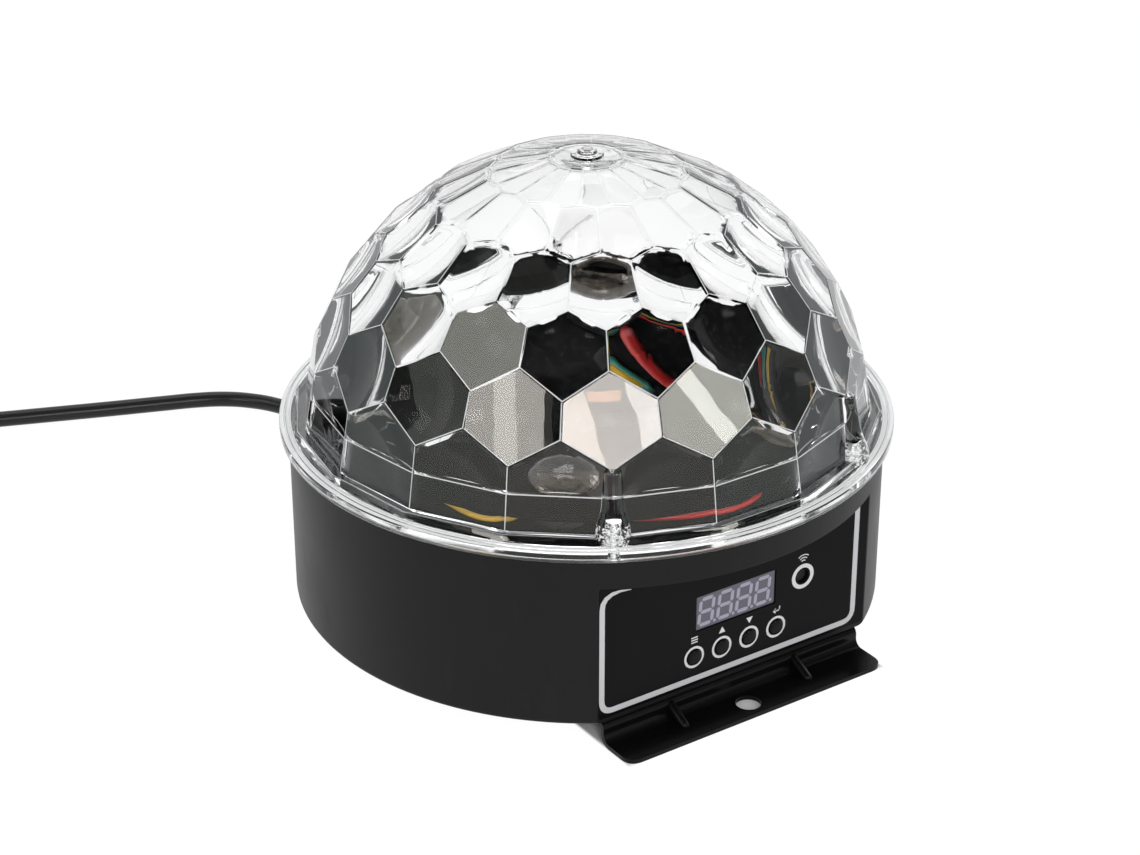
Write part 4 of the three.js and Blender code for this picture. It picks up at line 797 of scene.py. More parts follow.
def makeHousing():
    h, p = housing, panel
    inner, flat, roof = h["radius"] - h["wall"], h["flat"] - h["wall"], h["band"] + h["wall"]
    reach, deep, high = 2 * h["radius"], h["lipBottom"], h["top"] + 2
    made = asObject(turned([(0, h["bottom"]), (h["radius"], h["bottom"], h["edge"]),
                            (h["radius"], h["top"], 0.7), (0, h["top"])], h["steps"]), "housing")
    carved(made, together(block(-reach, reach, -reach, -h["flat"], -2, h["band"]),
                          block(-reach, reach, h["flat"], reach, -2, h["band"])))
    bevelled(made, 0.45, angle=28)
    carved(made, flattened(inner, flat, h["bottom"] - 2, deep, 120), drum(inner, roof, deep, 120),
           drum(inner - h["lipWidth"], roof, high, 120), drum(inner, h["lipTop"], high, 120))
    posts, holes = [], []
    for angle in h["postAngles"]:
        place = moved(*onRing(h["postRing"], math.radians(angle)))
        posts.append(drum(h["post"], h["postFoot"], deep + 1.5, 24, place))
        holes.append(drum(h["postHole"], *h["postHoleSpan"], 16, place))
    for angle in h["bossAngles"]:
        holes.append(drum(h["screwHole"], deep - 2, h["lipTop"] + 2, 16,
                          moved(*onRing(h["bossRing"], math.radians(angle)))))
    front, back = (-h["flat"] - 2, -flat + 2), (flat - 2, h["flat"] + 2)
    holes.append(extruded(rectangle(p["displayWidth"], p["displayHeight"], 0.6, 0, -p["displayZ"]),
                          *front, alongY))
    for x in p["buttons"]:
        holes.append(drum(p["button"] + 0.3, *front, 32, onWall(x, p["buttonZ"])))
    holes.append(drum(p["microphone"] + 0.3, *front, 32, onWall(p["microphoneX"], p["microphoneZ"])))
    for x in rear["sockets"]:
        holes.append(drum(rear["barrel"] + 0.3, *back, 48, onWall(x, rear["socketZ"])))
    holes.append(drum(gland["neck"] + 0.3, *back, 32, onWall(gland["x"], gland["z"])))
    carved(made, together(*posts), operation="UNION")
    carved(made, together(*holes))
    return finished(made, housingBlack, "base", "base_housing", sharp=26)


makeHousing()
print("housing made")


# Panel: gloss film on the flat, silver frame line, white rings and plain marks
film = {"width": 107.0, "low": 10.2, "high": 57.2, "corner": 1.2, "thickness": 0.12, "line": 2.0,
        "right": 49.0, "base": 12.4, "lineCorner": 4.5, "buttonRing": (3.05, 3.9),
        "microphoneRing": (3.1, 4.5), "ink": 0.05,
        "tip": [(-41.5, 53.6), (-45.5, 54.3), (-48.6, 54.2), (-50.9, 53.2), (-52.1, 51.6), (-52.4, 49.6)],
        "tipWidths": [0.2, 0.8, 1.4, 1.8, 2.0], "markRise": 6.3, "sound": (1.3, 2.3, 3.3), "soundRise": 4.6,
        "soundSpread": 38, "soundLine": 0.36}


def ribbon(points, widths, thickness, front):
    shape = bmesh.new()
    rows = []
    for i, (x, z) in enumerate(points):
        before = Vector(points[max(i - 1, 0)])
        after = Vector(points[min(i + 1, len(points) - 1)])
        side = (after - before).normalized()
        side = Vector((-side.y, side.x)) * widths[i] / 2
        rows.append([shape.verts.new((x + s * side.x, y, z + s * side.y))
                     for s, y in ((-1, front), (1, front), (1, front + thickness), (-1, front + thickness))])
    for low, high in zip(rows, rows[1:]):
        for k in range(4):
            shape.faces.new([low[k], low[(k + 1) % 4], high[(k + 1) % 4], high[k]])
    shape.faces.new(rows[0])
    shape.faces.new(rows[-1])
    return settled(shape)


def mark(outline, x, z, front, thickness):  # outline in the panel's plane
    return extruded([(x + u, -(z + v), *rest) for u, v, *rest in outline], front, front + thickness, alongY)


def makePanel():
    f, p = film, panel
    front = -housing["flat"] - f["thickness"]
    middle, height = (f["low"] + f["high"]) / 2, f["high"] - f["low"]
    sheet = asObject(extruded(rectangle(f["width"], height, f["corner"], 0, -middle), front,
                              -housing["flat"] + 0.02, alongY), "panelFilm")
    holes = [extruded(rectangle(p["displayWidth"] - 0.5, p["displayHeight"] - 0.5, 0.5, 0, -p["displayZ"]),
                      front - 1, front + 2, alongY)]
    for x in p["buttons"]:
        holes.append(drum(p["button"] + 0.25, front - 1, front + 2, 32, onWall(x, p["buttonZ"])))
    holes.append(drum(p["microphone"], front - 1, front + 2, 32, onWall(p["microphoneX"], p["microphoneZ"])))
    carved(sheet, together(*holes))
    finished(sheet, panelGloss, "base", (), sharp=40)

    thick = f["ink"]
    ink = front - thick
    left, high = f["tip"][-1]
    corner = softened([(left, high), (left, f["base"], f["lineCorner"]),
                       (f["right"], f["base"], f["lineCorner"]), (f["right"], f["high"])], 8)
    path = f["tip"] + [tuple(point) for point in corner[1:]]
    widths = f["tipWidths"] + [f["line"]] * (len(path) - len(f["tipWidths"]))
    finished(asObject(ribbon(path, widths, thick, ink), "panelFrameLine"), printSilver, "base", (),
             weighted=False)

    def ring(inner, outer, x, z):
        return turned([(inner, 0), (outer, 0), (outer, thick), (inner, thick)], 48, onWall(x, z, ink))

    shapes = [ring(*f["buttonRing"], x, p["buttonZ"]) for x in p["buttons"]]
    shapes.append(ring(*f["microphoneRing"], p["microphoneX"], p["microphoneZ"]))
    marks = [(0, [(x, y + 0.9 * k, r) for x, y, r in rectangle(2.6, 0.42, 0.1)]) for k in (-1, 0, 1)]
    marks += [(1, [(-1.3, -1.0, 0.1), (1.3, -1.0, 0.1), (0, 1.2, 0.1)]),
              (2, [(-1.3, 1.0, 0.1), (1.3, 1.0, 0.1), (0, -1.2, 0.1)]),
              (3, [(-1.5, -0.3), (-0.3, -1.3), (-0.3, -0.55), (1.1, -0.55), (1.1, 1.1), (1.5, 1.1),
                   (1.5, -0.05), (-0.3, -0.05), (-0.3, 0.7)])]
    for k, outline in marks:  # list, up, down and enter marks over the buttons
        shapes.append(mark(outline, p["buttons"][k], p["buttonZ"] + f["markRise"], ink, thick))
    x, z = p["microphoneX"], p["microphoneZ"] + f["soundRise"]
    for size in f["sound"]:  # sound marks over the microphone
        turns = [math.radians(f["soundSpread"] * (k / 4 - 1)) for k in range(9)]
        arch = [(x + size * math.sin(a), z + size * math.cos(a)) for a in turns]
        shapes.append(ribbon(arch, [f["soundLine"]] * len(arch), thick, ink))
    finished(asObject(together(*shapes), "panelRings"), printWhite, "base", (),
             weighted=False)


makePanel()


# Display: violet grey block with four unlit figures
display = {"front": -83.1, "back": -75.2, "gap": 0.3, "digit": (5.1, 9.0), "pitch": 7.5, "bar": 1.25,
           "barGap": 0.25, "slant": 0.1, "shift": -0.4, "dot": 0.55, "dotGap": 0.75, "proud": 0.04}


def makeDisplay():
    p, d = panel, display
    w, h = p["displayWidth"] - 2 * d["gap"], p["displayHeight"] - 2 * d["gap"]
    body = extruded(rectangle(w, h, 0.7, 0, -p["displayZ"]), d["front"], d["back"], alongY)
    finished(asObject(body, "displayBlock"), displayFace, "base", "display_module",
             bevel=0.25)
    wide, tall = d["digit"]
    half = d["bar"] / 2

    def bar(x, z, length, across):
        reach = length / 2 - d["barGap"]
        outline = [(0, -reach), (half, -reach + half), (half, reach - half), (0, reach),
                   (-half, reach - half), (-half, -reach + half)]
        if across:
            outline = [(v, -u) for u, v in outline]
        return [(u + x + d["slant"] * (v + z), v + z) for u, v in outline]

    figure = [bar(0, z, wide, True) for z in (-tall / 2, 0, tall / 2)]
    figure += [bar(x, z, tall / 2, False) for x in (-wide / 2, wide / 2) for z in (-tall / 4, tall / 4)]
    figure.append([(wide / 2 + d["dotGap"] + d["dot"] * math.cos(fullTurn * i / 12),
                    -tall / 2 + d["dot"] * math.sin(fullTurn * i / 12)) for i in range(12)])
    bars = [mark(outline, (k - 1.5) * d["pitch"] + d["shift"], p["displayZ"], d["front"] - d["proud"], 0.06)
            for k in range(4) for outline in figure]
    finished(asObject(together(*bars), "displayFigures"), segmentPale, "base", (),
             weighted=False)


makeDisplay()


# Buttons with a flange behind the wall, and a microphone: a felt in its can
button = {"crown": 2.0, "length": 3.8, "flange": 3.7, "whole": 4.7}
microphone = {"can": 4.8, "canFront": -80.8, "canBack": -75.8, "felt": 2.5, "feltCrown": 1.9,
              "feltFront": -82.1, "feltBack": -75.3}


def makeButtons():
    p, b, m = panel, button, microphone
    profile = [(0, 0), (b["crown"], 0.05, 0.8), (p["button"], 0.35, 0.3), (p["button"], b["length"]),
               (b["flange"], b["length"], 0.15), (b["flange"], b["whole"], 0.15), (0, b["whole"])]
    for k, x in enumerate(p["buttons"]):
        shape = turned(profile, 40, onWall(x, p["buttonZ"], -housing["flat"] - p["proud"]))
        finished(asObject(shape, f"button{k + 1}"), buttonGloss, f"button_{k + 1}",
                 f"button_cap_{k + 1}")
    place = onWall(p["microphoneX"], p["microphoneZ"])
    can = turned([(0, m["canFront"]), (m["can"], m["canFront"], 0.3), (m["can"], m["canBack"], 0.3),
                  (0, m["canBack"])], 40, place)
    felt = turned([(0, m["feltFront"]), (m["feltCrown"], m["feltFront"] - 0.1, 0.4),
                   (m["felt"], m["feltFront"] + 0.1, 0.3), (m["felt"], m["feltBack"]), (0, m["feltBack"])],
                  32, place)
    tinted(can, 1)
    finished(asObject(together(felt, can), "microphoneCapsule"), [feltBlack, motorMetal], "base",
             "microphone")


makeButtons()
print("panel made")


# Bracket: one bent strip with two ribs at each foot
strip = {"width": 103, "thickness": 1.5, "reach": 97.8, "top": 8.2, "wall": 83.5, "upper": 1.2, "lower": 2.8,
         "corner": 5, "rib": 25, "ribRadius": 1.6, "ribRun": 7, "hole": 4.2, "holeInset": 6.4,
         "screwX": 30, "screwHole": 2.3}


def arc(x, y, radius, start, end, steps=7):
    turns = [start + (end - start) * k / steps for k in range(steps + 1)]
    return [(x + radius * math.cos(a), y + radius * math.sin(a)) for a in turns]


def makeBracket():
    s = strip
    wall, t, top, upper, lower = s["wall"], s["thickness"], s["top"], s["upper"], s["lower"]
    bend, size = wall - t - upper, s["ribRadius"]
    half = [(0, top)] + arc(bend, top - t - upper, upper + t, quarterTurn, 0)
    half += arc(wall + lower, t + lower, lower, math.pi, 1.5 * math.pi)
    half += [(s["reach"], t), (s["reach"], 0)]
    half += arc(wall + lower, t + lower, lower + t, 1.5 * math.pi, math.pi)
    half += arc(bend, top - t - upper, upper, 0, quarterTurn) + [(0, top - t)]
    outline = half + [(-u, v) for u, v in reversed(half[1:-1])]
    side = Matrix(((0, 0, 1, 0), (1, 0, 0, 0), (0, 1, 0, 0), (0, 0, 0, 1)))  # a profile in Y and Z along X
    made = asObject(extruded(outline, -s["width"] / 2, s["width"] / 2, side), "bracket")
    sheet = extruded(rectangle(s["width"], 2 * s["reach"], s["corner"]), -2, top + 2, rounding=8)
    carved(made, sheet, operation="INTERSECT")
    ribs, holes = [], []
    for way in (-1, 1):
        for x in (-s["rib"], s["rib"]):
            low = Vector((x, way * (wall + s["ribRun"]), size + 0.1))
            along = Vector((x, way * (wall - t / 2), top - t - upper)) - low
            profile = [(0, -size)] + arc(0, 0, size, math.radians(-72), 0, 4)
            profile += arc(0, along.length, size, 0, math.radians(72), 4) + [(0, along.length + size)]
            turn = Vector((0, 0, 1)).rotation_difference(along.normalized()).to_matrix().to_4x4()
            ribs.append(turned(profile, 20, moved(*low) @ turn))
        holes.append(drum(s["hole"], -2, 5, 40, moved(0, way * (s["reach"] - s["holeInset"]))))
        holes.append(drum(s["screwHole"], -2, top + 2, 24, moved(way * s["screwX"])))
    carved(made, together(*ribs), operation="UNION")
    carved(made, together(*holes))
    return finished(made, bracketBlack, "base", "bracket", bevel=0.22, sharp=40)


makeBracket()
print("bracket made")


# Screws: pan heads with a cross recess and a rolled thread
def screwShape(radius, head, height, length, pitch=0.7):
    profile = [(0, 0), (radius * 0.25, 0), (radius * 0.8, 1.2)]
    z = 1.2
    while z < length - pitch:
        profile += [(radius * 0.82, z), (radius, z + pitch / 2)]
        z += pitch
    profile += [(radius * 0.85, length), (head, length, 0.2), (head, length + height * 0.5, height * 0.3),
                (head * 0.55, length + height * 0.96, 0.4), (0, length + height)]
    made = asObject(turned(profile, 28), "tool")
    recess = [extruded(rectangle(*size), length + height * 0.4, length + height + 1)
              for size in ((head * 1.05, head * 0.24), (head * 0.24, head * 1.05))]
    return asShape(carved(made, *recess))


# Screw radius, head radius, head height, length under the head, and where each head sits
screws = {
    "dome": (1.5, 2.4, 1.8, 14.4, [(*onRing(housing["bossRing"], a), 62.4) for a in fourWays(30)]),
    "plate": (1.5, 3.0, 1.9, 9.0, [(*onRing(housing["postRing"], a), 8.2) for a in fourWays(60)]),
    "bracket": (2.0, 3.9, 2.4, 7.4, [(-strip["screwX"], 0, 6.4), (strip["screwX"], 0, 6.4)]),
    "motor": (1.5, 2.7, 1.6, 6.0, [(*onRing(33, math.radians(a)), 68.3) for a in (45, 225)])}


def makeScrews(kind, node, headUp=False):
    *size, places = screws[kind]
    for k, place in enumerate(places):
        turn = moved(0, 0, -size[-1])
        if not headUp:
            turn = Matrix.Rotation(math.pi, 4, "X") @ turn
        shape = settled(screwShape(*size), moved(*place) @ turn @ turnedZ(0.4 + 1.1 * k))
        finished(asObject(shape, f"{kind}Screw{k + 1}"), screwSteel, "base", f"{node}_{k + 1}")


makeScrews("dome", "dome_screw")
makeScrews("plate", "bottom_screw")
makeScrews("bracket", "bracket_screw")
makeScrews("motor", "motor_screw", True)
print("screws made")


# Sockets on the rear flat: pins in the one, pin holes in the other
socket = {"wall": 83.8, "plate": (26, 31, 3), "thickness": 2.0, "rim": 10.6, "proud": 1.6, "cup": 7.9,
          "cupDepth": 12, "pinRing": 4.1, "pin": 1.2, "pinHole": 1.3, "back": 60.1, "groove": (8.2, 9.0),
          "screws": ((-9.4, 11.9), (9.4, -11.9)), "screwHole": 1.6, "key": (2.0, 1.6, 0.3)}


def makeSocket(name, node, x, withPins):
    s, z = socket, rear["socketZ"]
    face = s["wall"] + s["thickness"]
    mouth = face + s["proud"]
    floor = mouth - s["cupDepth"]
    place = onWall(x, z)
    angles = [math.radians(a) for a in (30, 150, 270)]
    pins = [onWall(x + s["pinRing"] * math.cos(a), z + s["pinRing"] * math.sin(a)) for a in angles]
    corners = [onWall(x + u, z + v) for u, v in s["screws"]]
    made = asObject(extruded(rectangle(*s["plate"]), s["wall"], face, place), name)
    barrel = turned([(0, s["back"]), (rear["barrel"], s["back"], 0.5), (rear["barrel"], s["wall"] + 0.5),
                     (s["rim"], s["wall"] + 0.5), (s["rim"], mouth, 0.5), (0, mouth)], 56, place)
    carved(made, barrel, operation="UNION")
    holes = [drum(s["screwHole"], face - 0.9, face + 3, 20, corner) for corner in corners]
    if withPins:  # the key's notch overlaps the cup, so it is cut by itself
        notch = rectangle(*s["key"], x, -(z + s["cup"] + 0.4))
        carved(made, extruded(notch, mouth - 8, mouth + 2.5, alongY))
        holes.append(drum(s["cup"], floor, mouth + 2, 48, place))
    else:
        inner, outer = s["groove"]
        holes.append(turned([(inner, mouth - 3), (outer, mouth - 3), (outer, mouth + 2), (inner, mouth + 2)],
                            48, place))
        holes += [drum(s["pinHole"], floor, mouth + 2, 20, pin) for pin in pins]
    carved(made, together(*holes))
    finished(made, socketBlack, "base", node, bevel=0.18)
    head = [(0, face - 0.8), (1.5, face - 0.8), (1.5, face + 0.1, 0.2), (0, face + 0.25)]
    fittings = [turned(head, 24, corner) for corner in corners]
    if withPins:
        rod = [(0, floor - 2), (s["pin"], floor - 2), (s["pin"], mouth - 2, 0.7), (0, mouth - 2)]
        fittings += [turned(rod, 20, pin) for pin in pins]
    finished(asObject(together(*fittings), name + "Fittings"), brassPins, "base", ())


makeSocket("signalInlet", "signal_in_socket", rear["sockets"][0], True)
makeSocket("signalOutlet", "signal_out_socket", rear["sockets"][1], False)
print("sockets made")


# Dome: flat facets tangent to one sphere, each with a shallow lens bulging inwards behind it
dome = {"underside": 68.3, "sphere": sphere["height"], "distance": sphere["radius"], "round": 18, "rows": 5,
        "innerMost": 94.4, "rings": 7, "edgeParts": 5,
        # Wall at the middle of each row's lens, and the radius of its inner face
        "lenses": [(3.6, 50), (3.4, 50), (3.4, 50), (4.2, 42), (2.4, 150), (2.2, 200), (2.2, 200)],
        "ledge": 85.0, "ledgeLine": 0.4, "skirtWall": 3.0,
        "firstTilt": 26.0, "rowStep": 12.67, "skirtTilt": 10.0, "skirtInset": 0.8, "crownInset": 0.25,
        "flange": 102.5, "rim": 3.7, "step": 1.7, "stepInset": 4.3, "edge": 0.34,
        "knob": (5.4, 1.0), "ring": (3.2, 2.2), "dimple": (1.7, 1.4), "insideReach": 95, "outsideFrom": 92,
        "boss": {"ring": housing["bossRing"], "foot": 5.6, "footHeight": 7, "waist": 3.7,
                 "waistHeight": 12.5, "tip": 2.8, "height": 26, "lean": 3, "hole": 1.8, "depth": 10},
        # The flange's steps: distance in from its edge, height from its underside or top, rounding
        "stepsUnder": [(3.0, 0), (2.7, 0.7, 0.2), (1.7, 0.7, 0.2), (1.4, 0), (0, 0, 0.5)],
        "stepsTop": [(0, 0, 0.9), (1.5, 0, 0.2), (1.75, -0.55, 0.2), (2.05, -0.55, 0.2), (2.3, 0, 0.3),
                     (3.3, 0, 0.3), (3.5, -0.4, 0.2), (3.8, -0.4, 0.2), (4.0, 0)]}


betweenFacets = turnedZ(fullTurn / dome["round"] / 2 + quarterTurn)


def facetPlane(tilt, distance, turn):
    x, y = onRing(math.cos(tilt), turn)
    return Vector((x, y, math.sin(tilt))), distance


def meet(*planes):
    (a, p), (b, q), (c, r) = planes
    return (b.cross(c) * p + c.cross(a) * q + a.cross(b) * r) / a.dot(b.cross(c))


def facetPlanes():
    d = dome
    pitch = fullTurn / d["round"]
    rows = []
    for row in range(d["rows"] + 1):
        tilt = math.radians(d["firstTilt"] + (row - 1) * d["rowStep"] if row else d["skirtTilt"])
        distance = d["distance"] - (0 if row else d["skirtInset"])
        rows.append([facetPlane(tilt, distance, (k + row % 2 / 2) * pitch) for k in range(d["round"])])
    return rows, facetPlane(quarterTurn, d["distance"] - d["crownInset"], 0)


# Closed hull of all facets above a level given from the sphere's centre
def facetHull(level):
    rows, crown = facetPlanes()
    floor = facetPlane(-quarterTurn, -level, 0)
    cap = bmesh.new()
    count = dome["round"]
    for k in range(count):
        corners = [meet(rows[0][k], rows[0][(k + 1) % count], floor)]
        for row in range(dome["rows"]):
            here, shift = rows[row], row % 2
            over = rows[row + 1]
            after = over[(k + shift) % count]
            corners.append(meet(here[k], here[(k + 1) % count], after))
            corners.append(meet(here[k], over[(k + shift - 1) % count], after))
        corners.append(meet(rows[-1][k], rows[-1][(k + 1) % count], crown))
        for corner in corners:
            cap.verts.new(corner)
    bmesh.ops.convex_hull(cap, input=cap.verts)
    bmesh.ops.dissolve_limit(cap, angle_limit=math.radians(0.6), verts=cap.verts, edges=cap.edges)
    return settled(cap)


# The hollow: every facet's patch is pushed out to the nearest of the lens spheres
def hollowShape():
    d = dome
    hull = facetHull(d["ledge"] - d["sphere"])
    low = min(v.co.z for v in hull.verts)
    rows, crown = facetPlanes()
    planes = [plane for row in rows for plane in row] + [crown]
    lenses = [lens for lens, row in zip(d["lenses"], rows) for plane in row] + [d["lenses"][-1]]
    normals = numpy.array([normal for normal, distance in planes])
    size = numpy.array([lensRadius for wall, lensRadius in lenses])
    reach = numpy.array([distance - wall + lensRadius
                         for (normal, distance), (wall, lensRadius) in zip(planes, lenses)])
    points, faces = [], []
    for face in hull.faces:
        centre = face.calc_center_median()
        if centre.z < low + 0.01:
            continue
        corners = [v.co for v in face.verts]
        rim = [a.lerp(b, k / d["edgeParts"]) for a, b in zip(corners, corners[1:] + corners[:1])
               for k in range(d["edgeParts"])]
        first, around = len(points), len(rim)
        points.append(centre)
        for step in range(1, d["rings"] + 1):
            points += [centre.lerp(point, step / d["rings"]) for point in rim]
        for k in range(around):
            j = (k + 1) % around
            faces.append((first, first + 1 + k, first + 1 + j))
            for step in range(d["rings"] - 1):
                inner, outer = first + 1 + step * around, first + 1 + (step + 1) * around
                faces.append((inner + k, outer + k, outer + j, inner + j))
    hull.free()
    ways = numpy.array([point.normalized() for point in points])
    along = ways @ normals.T
    inside = size ** 2 - reach ** 2 * (1 - along ** 2)
    met = numpy.where((inside > 0) & (along > 0), reach * along - numpy.sqrt(numpy.maximum(inside, 0)), 1e9)
    radius = numpy.minimum(met.min(axis=1), d["innerMost"])
    shape = bmesh.new()
    verts = [shape.verts.new(Vector(way) * length) for way, length in zip(ways, radius)]
    for face in faces:
        shape.faces.new([verts[i] for i in face])
    bmesh.ops.remove_doubles(shape, verts=shape.verts, dist=0.01)
    bmesh.ops.holes_fill(shape, edges=[e for e in shape.edges if e.is_boundary], sides=0)
    return settled(shape, moved(0, 0, d["sphere"]))


# Below the ledge the wall is plain: its inside runs parallel to the lowest facets
def skirtHollow():
    d = dome
    tilt = math.radians(d["skirtTilt"])

    def corner(height):
        inside = d["distance"] - d["skirtInset"] - d["skirtWall"] - (height - d["sphere"]) * math.sin(tilt)
        return inside / math.cos(tilt) / math.cos(math.pi / d["round"])

    low, high = d["underside"] - 4, d["ledge"] + 0.2
    return turned([(0, low), (corner(low), low), (corner(high), high), (0, high)], d["round"], betweenFacets)


def makeDome():
    d, b = dome, dome["boss"]
    edge, under, rimTop = d["flange"], d["underside"], d["underside"] + d["rim"]
    cap = facetHull(rimTop - d["sphere"])
    low = min(v.co.z for v in cap.verts)
    ridges = [e for e in cap.edges if max(v.co.z for v in e.verts) > low + 0.1]
    bmesh.ops.bevel(cap, geom=ridges, offset=d["edge"], segments=2, profile=0.5, affect="EDGES")
    for height in (d["ledge"], d["ledge"] + d["ledgeLine"]):  # the ledge's line is painted on as a pale highlight band
        bmesh.ops.bisect_plane(cap, geom=cap.verts[:] + cap.edges[:] + cap.faces[:],
                               plane_co=(0, 0, height - d["sphere"]), plane_no=(0, 0, 1))
    made = asObject(settled(cap, moved(0, 0, d["sphere"])), "dome")
    profile = [(0, under)] + [(edge - inset, under + rise, *rest) for inset, rise, *rest in d["stepsUnder"]]
    profile += [(edge - inset, rimTop + rise, *rest) for inset, rise, *rest in d["stepsTop"]]
    profile.append((0, rimTop))
    corner, top = edge - d["stepInset"], rimTop + d["step"]
    step = turned([(0, under + 0.6), (corner + 0.4, under + 0.6), (corner + 0.4, rimTop),
                   (corner - 0.4, top, 0.3), (0, top)], d["round"], betweenFacets)
    crown = d["sphere"] + d["distance"] - d["crownInset"]
    (knob, knobRise), (collar, collarRise), (dimple, depth) = d["knob"], d["ring"], d["dimple"]
    handle = turned([(0, crown - 1.3), (knob, crown - 1.3), (knob, crown + knobRise, 0.5),
                     (collar, crown + knobRise, 0.4), (collar, crown + collarRise, 0.6),
                     (dimple, crown + collarRise, 0.4), (dimple, crown + collarRise - depth, 0.5),
                     (0, crown + collarRise - depth)], 40)
    carved(made, turned(profile, 162), step, handle, operation="UNION")
    columns, holes = [], []
    post = [(0, 0), (b["foot"], 0), (b["foot"], b["footHeight"], 2.5), (b["waist"], b["waistHeight"], 3.0),
            (b["tip"], b["height"], 0.6), (0, b["height"])]
    for angle in fourWays(30):
        column = turned(post, 28)
        for v in column.verts:
            lean = max(v.co.z - b["footHeight"], 0) / (b["height"] - b["footHeight"])
            v.co.y += lean * b["lean"]
        columns.append(settled(column, turnedZ(angle) @ moved(0, -b["ring"], under)))
        holes.append(drum(b["hole"], under - 2, under + b["depth"], 20, moved(*onRing(b["ring"], angle))))
    carved(made, together(*columns), operation="UNION")
    carved(made, hollowShape())
    carved(made, skirtHollow())
    carved(made, together(*holes))
    dressDome(made.data, rimTop)
    return finished(made, [domeClear, domeEdgePaintedHighlight, domeInside, domeRim, bossClear], "base", "dome",
                    weighted=False)


# Faces take the finish of their place: 1 painted highlight on the edge strips that face the light and on the
# ledge line, 2 inside, 3 rim, 4 boss; flat facets stay 0
def dressDome(mesh, rimTop):
    d, b = dome, dome["boss"]
    centre = Vector((0, 0, d["sphere"]))
    mesh.shade_smooth()
    mesh.set_sharp_from_angle(angle=math.radians(24))
    rows, crown = facetPlanes()
    normals = numpy.array([normal for row in rows for normal, distance in row] + [crown[0]])
    feet = [onRing(b["ring"] - 1, angle) for angle in fourWays(30)]
    brightWay = Vector((-0.35, 0.1, 0.93))
    for face in mesh.polygons:
        height, upward = face.center.z, face.normal.z
        away = face.center - centre
        outward = face.normal.dot(away) > 0
        spread = math.hypot(*face.center.xy)
        high = height > rimTop + d["step"] - 0.1
        nearBoss = any(math.dist(face.center.xy, foot) < b["foot"] + 1.5 for foot in feet)
        if not outward and spread < d["insideReach"] and not nearBoss:
            face.material_index = 2
        elif not high and upward > 0.5 and spread > d["flange"] - 4.2 and height > rimTop - 0.7:
            face.material_index = 3
        elif nearBoss and spread > b["ring"] - 7 and height < d["underside"] + b["footHeight"] + 2.5 \
                and not abs(upward) > 0.9:
            face.material_index = 4
        elif high and outward and away.length > d["outsideFrom"] and spread > d["knob"][0] + 0.5:
            close = normals @ numpy.array(face.normal)
            if close.max() > 0.9998:
                face.use_smooth = False
                # the band at the ledge's height takes the painted highlight
                if abs(height - d["ledge"] - d["ledgeLine"] / 2) < d["ledgeLine"] / 2:
                    face.material_index = 1
            elif not nearBoss:  # of the two strips along an edge, the one that faces the light more takes the painted highlight
                pair = [Vector(normals[i]) for i in numpy.argsort(close)[-2:]]
                dim, bright = sorted(pair, key=lambda normal: normal.dot(brightWay))
                face.material_index = 1 if face.normal.dot(bright) > face.normal.dot(dim) else 0


makeDome()
print("dome made")


# Lens wheel: an inverted dish with windows, and a lens over each light source
wheel = {"radius": 83.0, "top": 79.0, "bottom": 72.0, "plate": 2.2, "skirt": 1.6, "window": (26, 78),
         "windowHalf": 17.5, "windowCorner": 4, "lensRing": 71.5, "lens": 8.8, "lensSeat": 7.6,
         "seatDepth": 1.2, "crown": 3.6, "edge": 1.6, "first": -40.7, "hub": 9, "hubTop": 82, "bore": 3.3,
         "ribWidth": 1.6, "ribDepth": 2.6, "screw": (2.6, 4.4, 2.2, 3.0), "screwZ": 79.3}
lensAngles = [math.radians(wheel["first"] + 60 * k) for k in range(6)]


def windowOutline(inner, outer, half, corner):
    def at(radius, angle):
        return radius * math.cos(angle), radius * math.sin(angle)

    def bend(*points):
        start, middle, end = map(Vector, points)
        return [(start * (1 - t) ** 2 + middle * 2 * t * (1 - t) + end * t * t).to_tuple()
                for t in (0.25, 0.5, 0.75, 1.0)]

    near, far = half - corner / inner, half - corner / outer
    line = [at(outer, -far + 2 * far * k / 10) for k in range(11)]
    line += bend(at(outer, far), at(outer, half), at(outer - corner, half))
    line.append(at(inner + corner, half))
    line += bend(at(inner + corner, half), at(inner, half), at(inner, near))
    line += [at(inner, near - 2 * near * k / 4) for k in range(1, 5)]
    line += bend(at(inner, -near), at(inner, -half), at(inner + corner, -half))
    line.append(at(outer - corner, -half))
    line += bend(at(outer - corner, -half), at(outer, -half), at(outer, -far))[:-1]
    return line


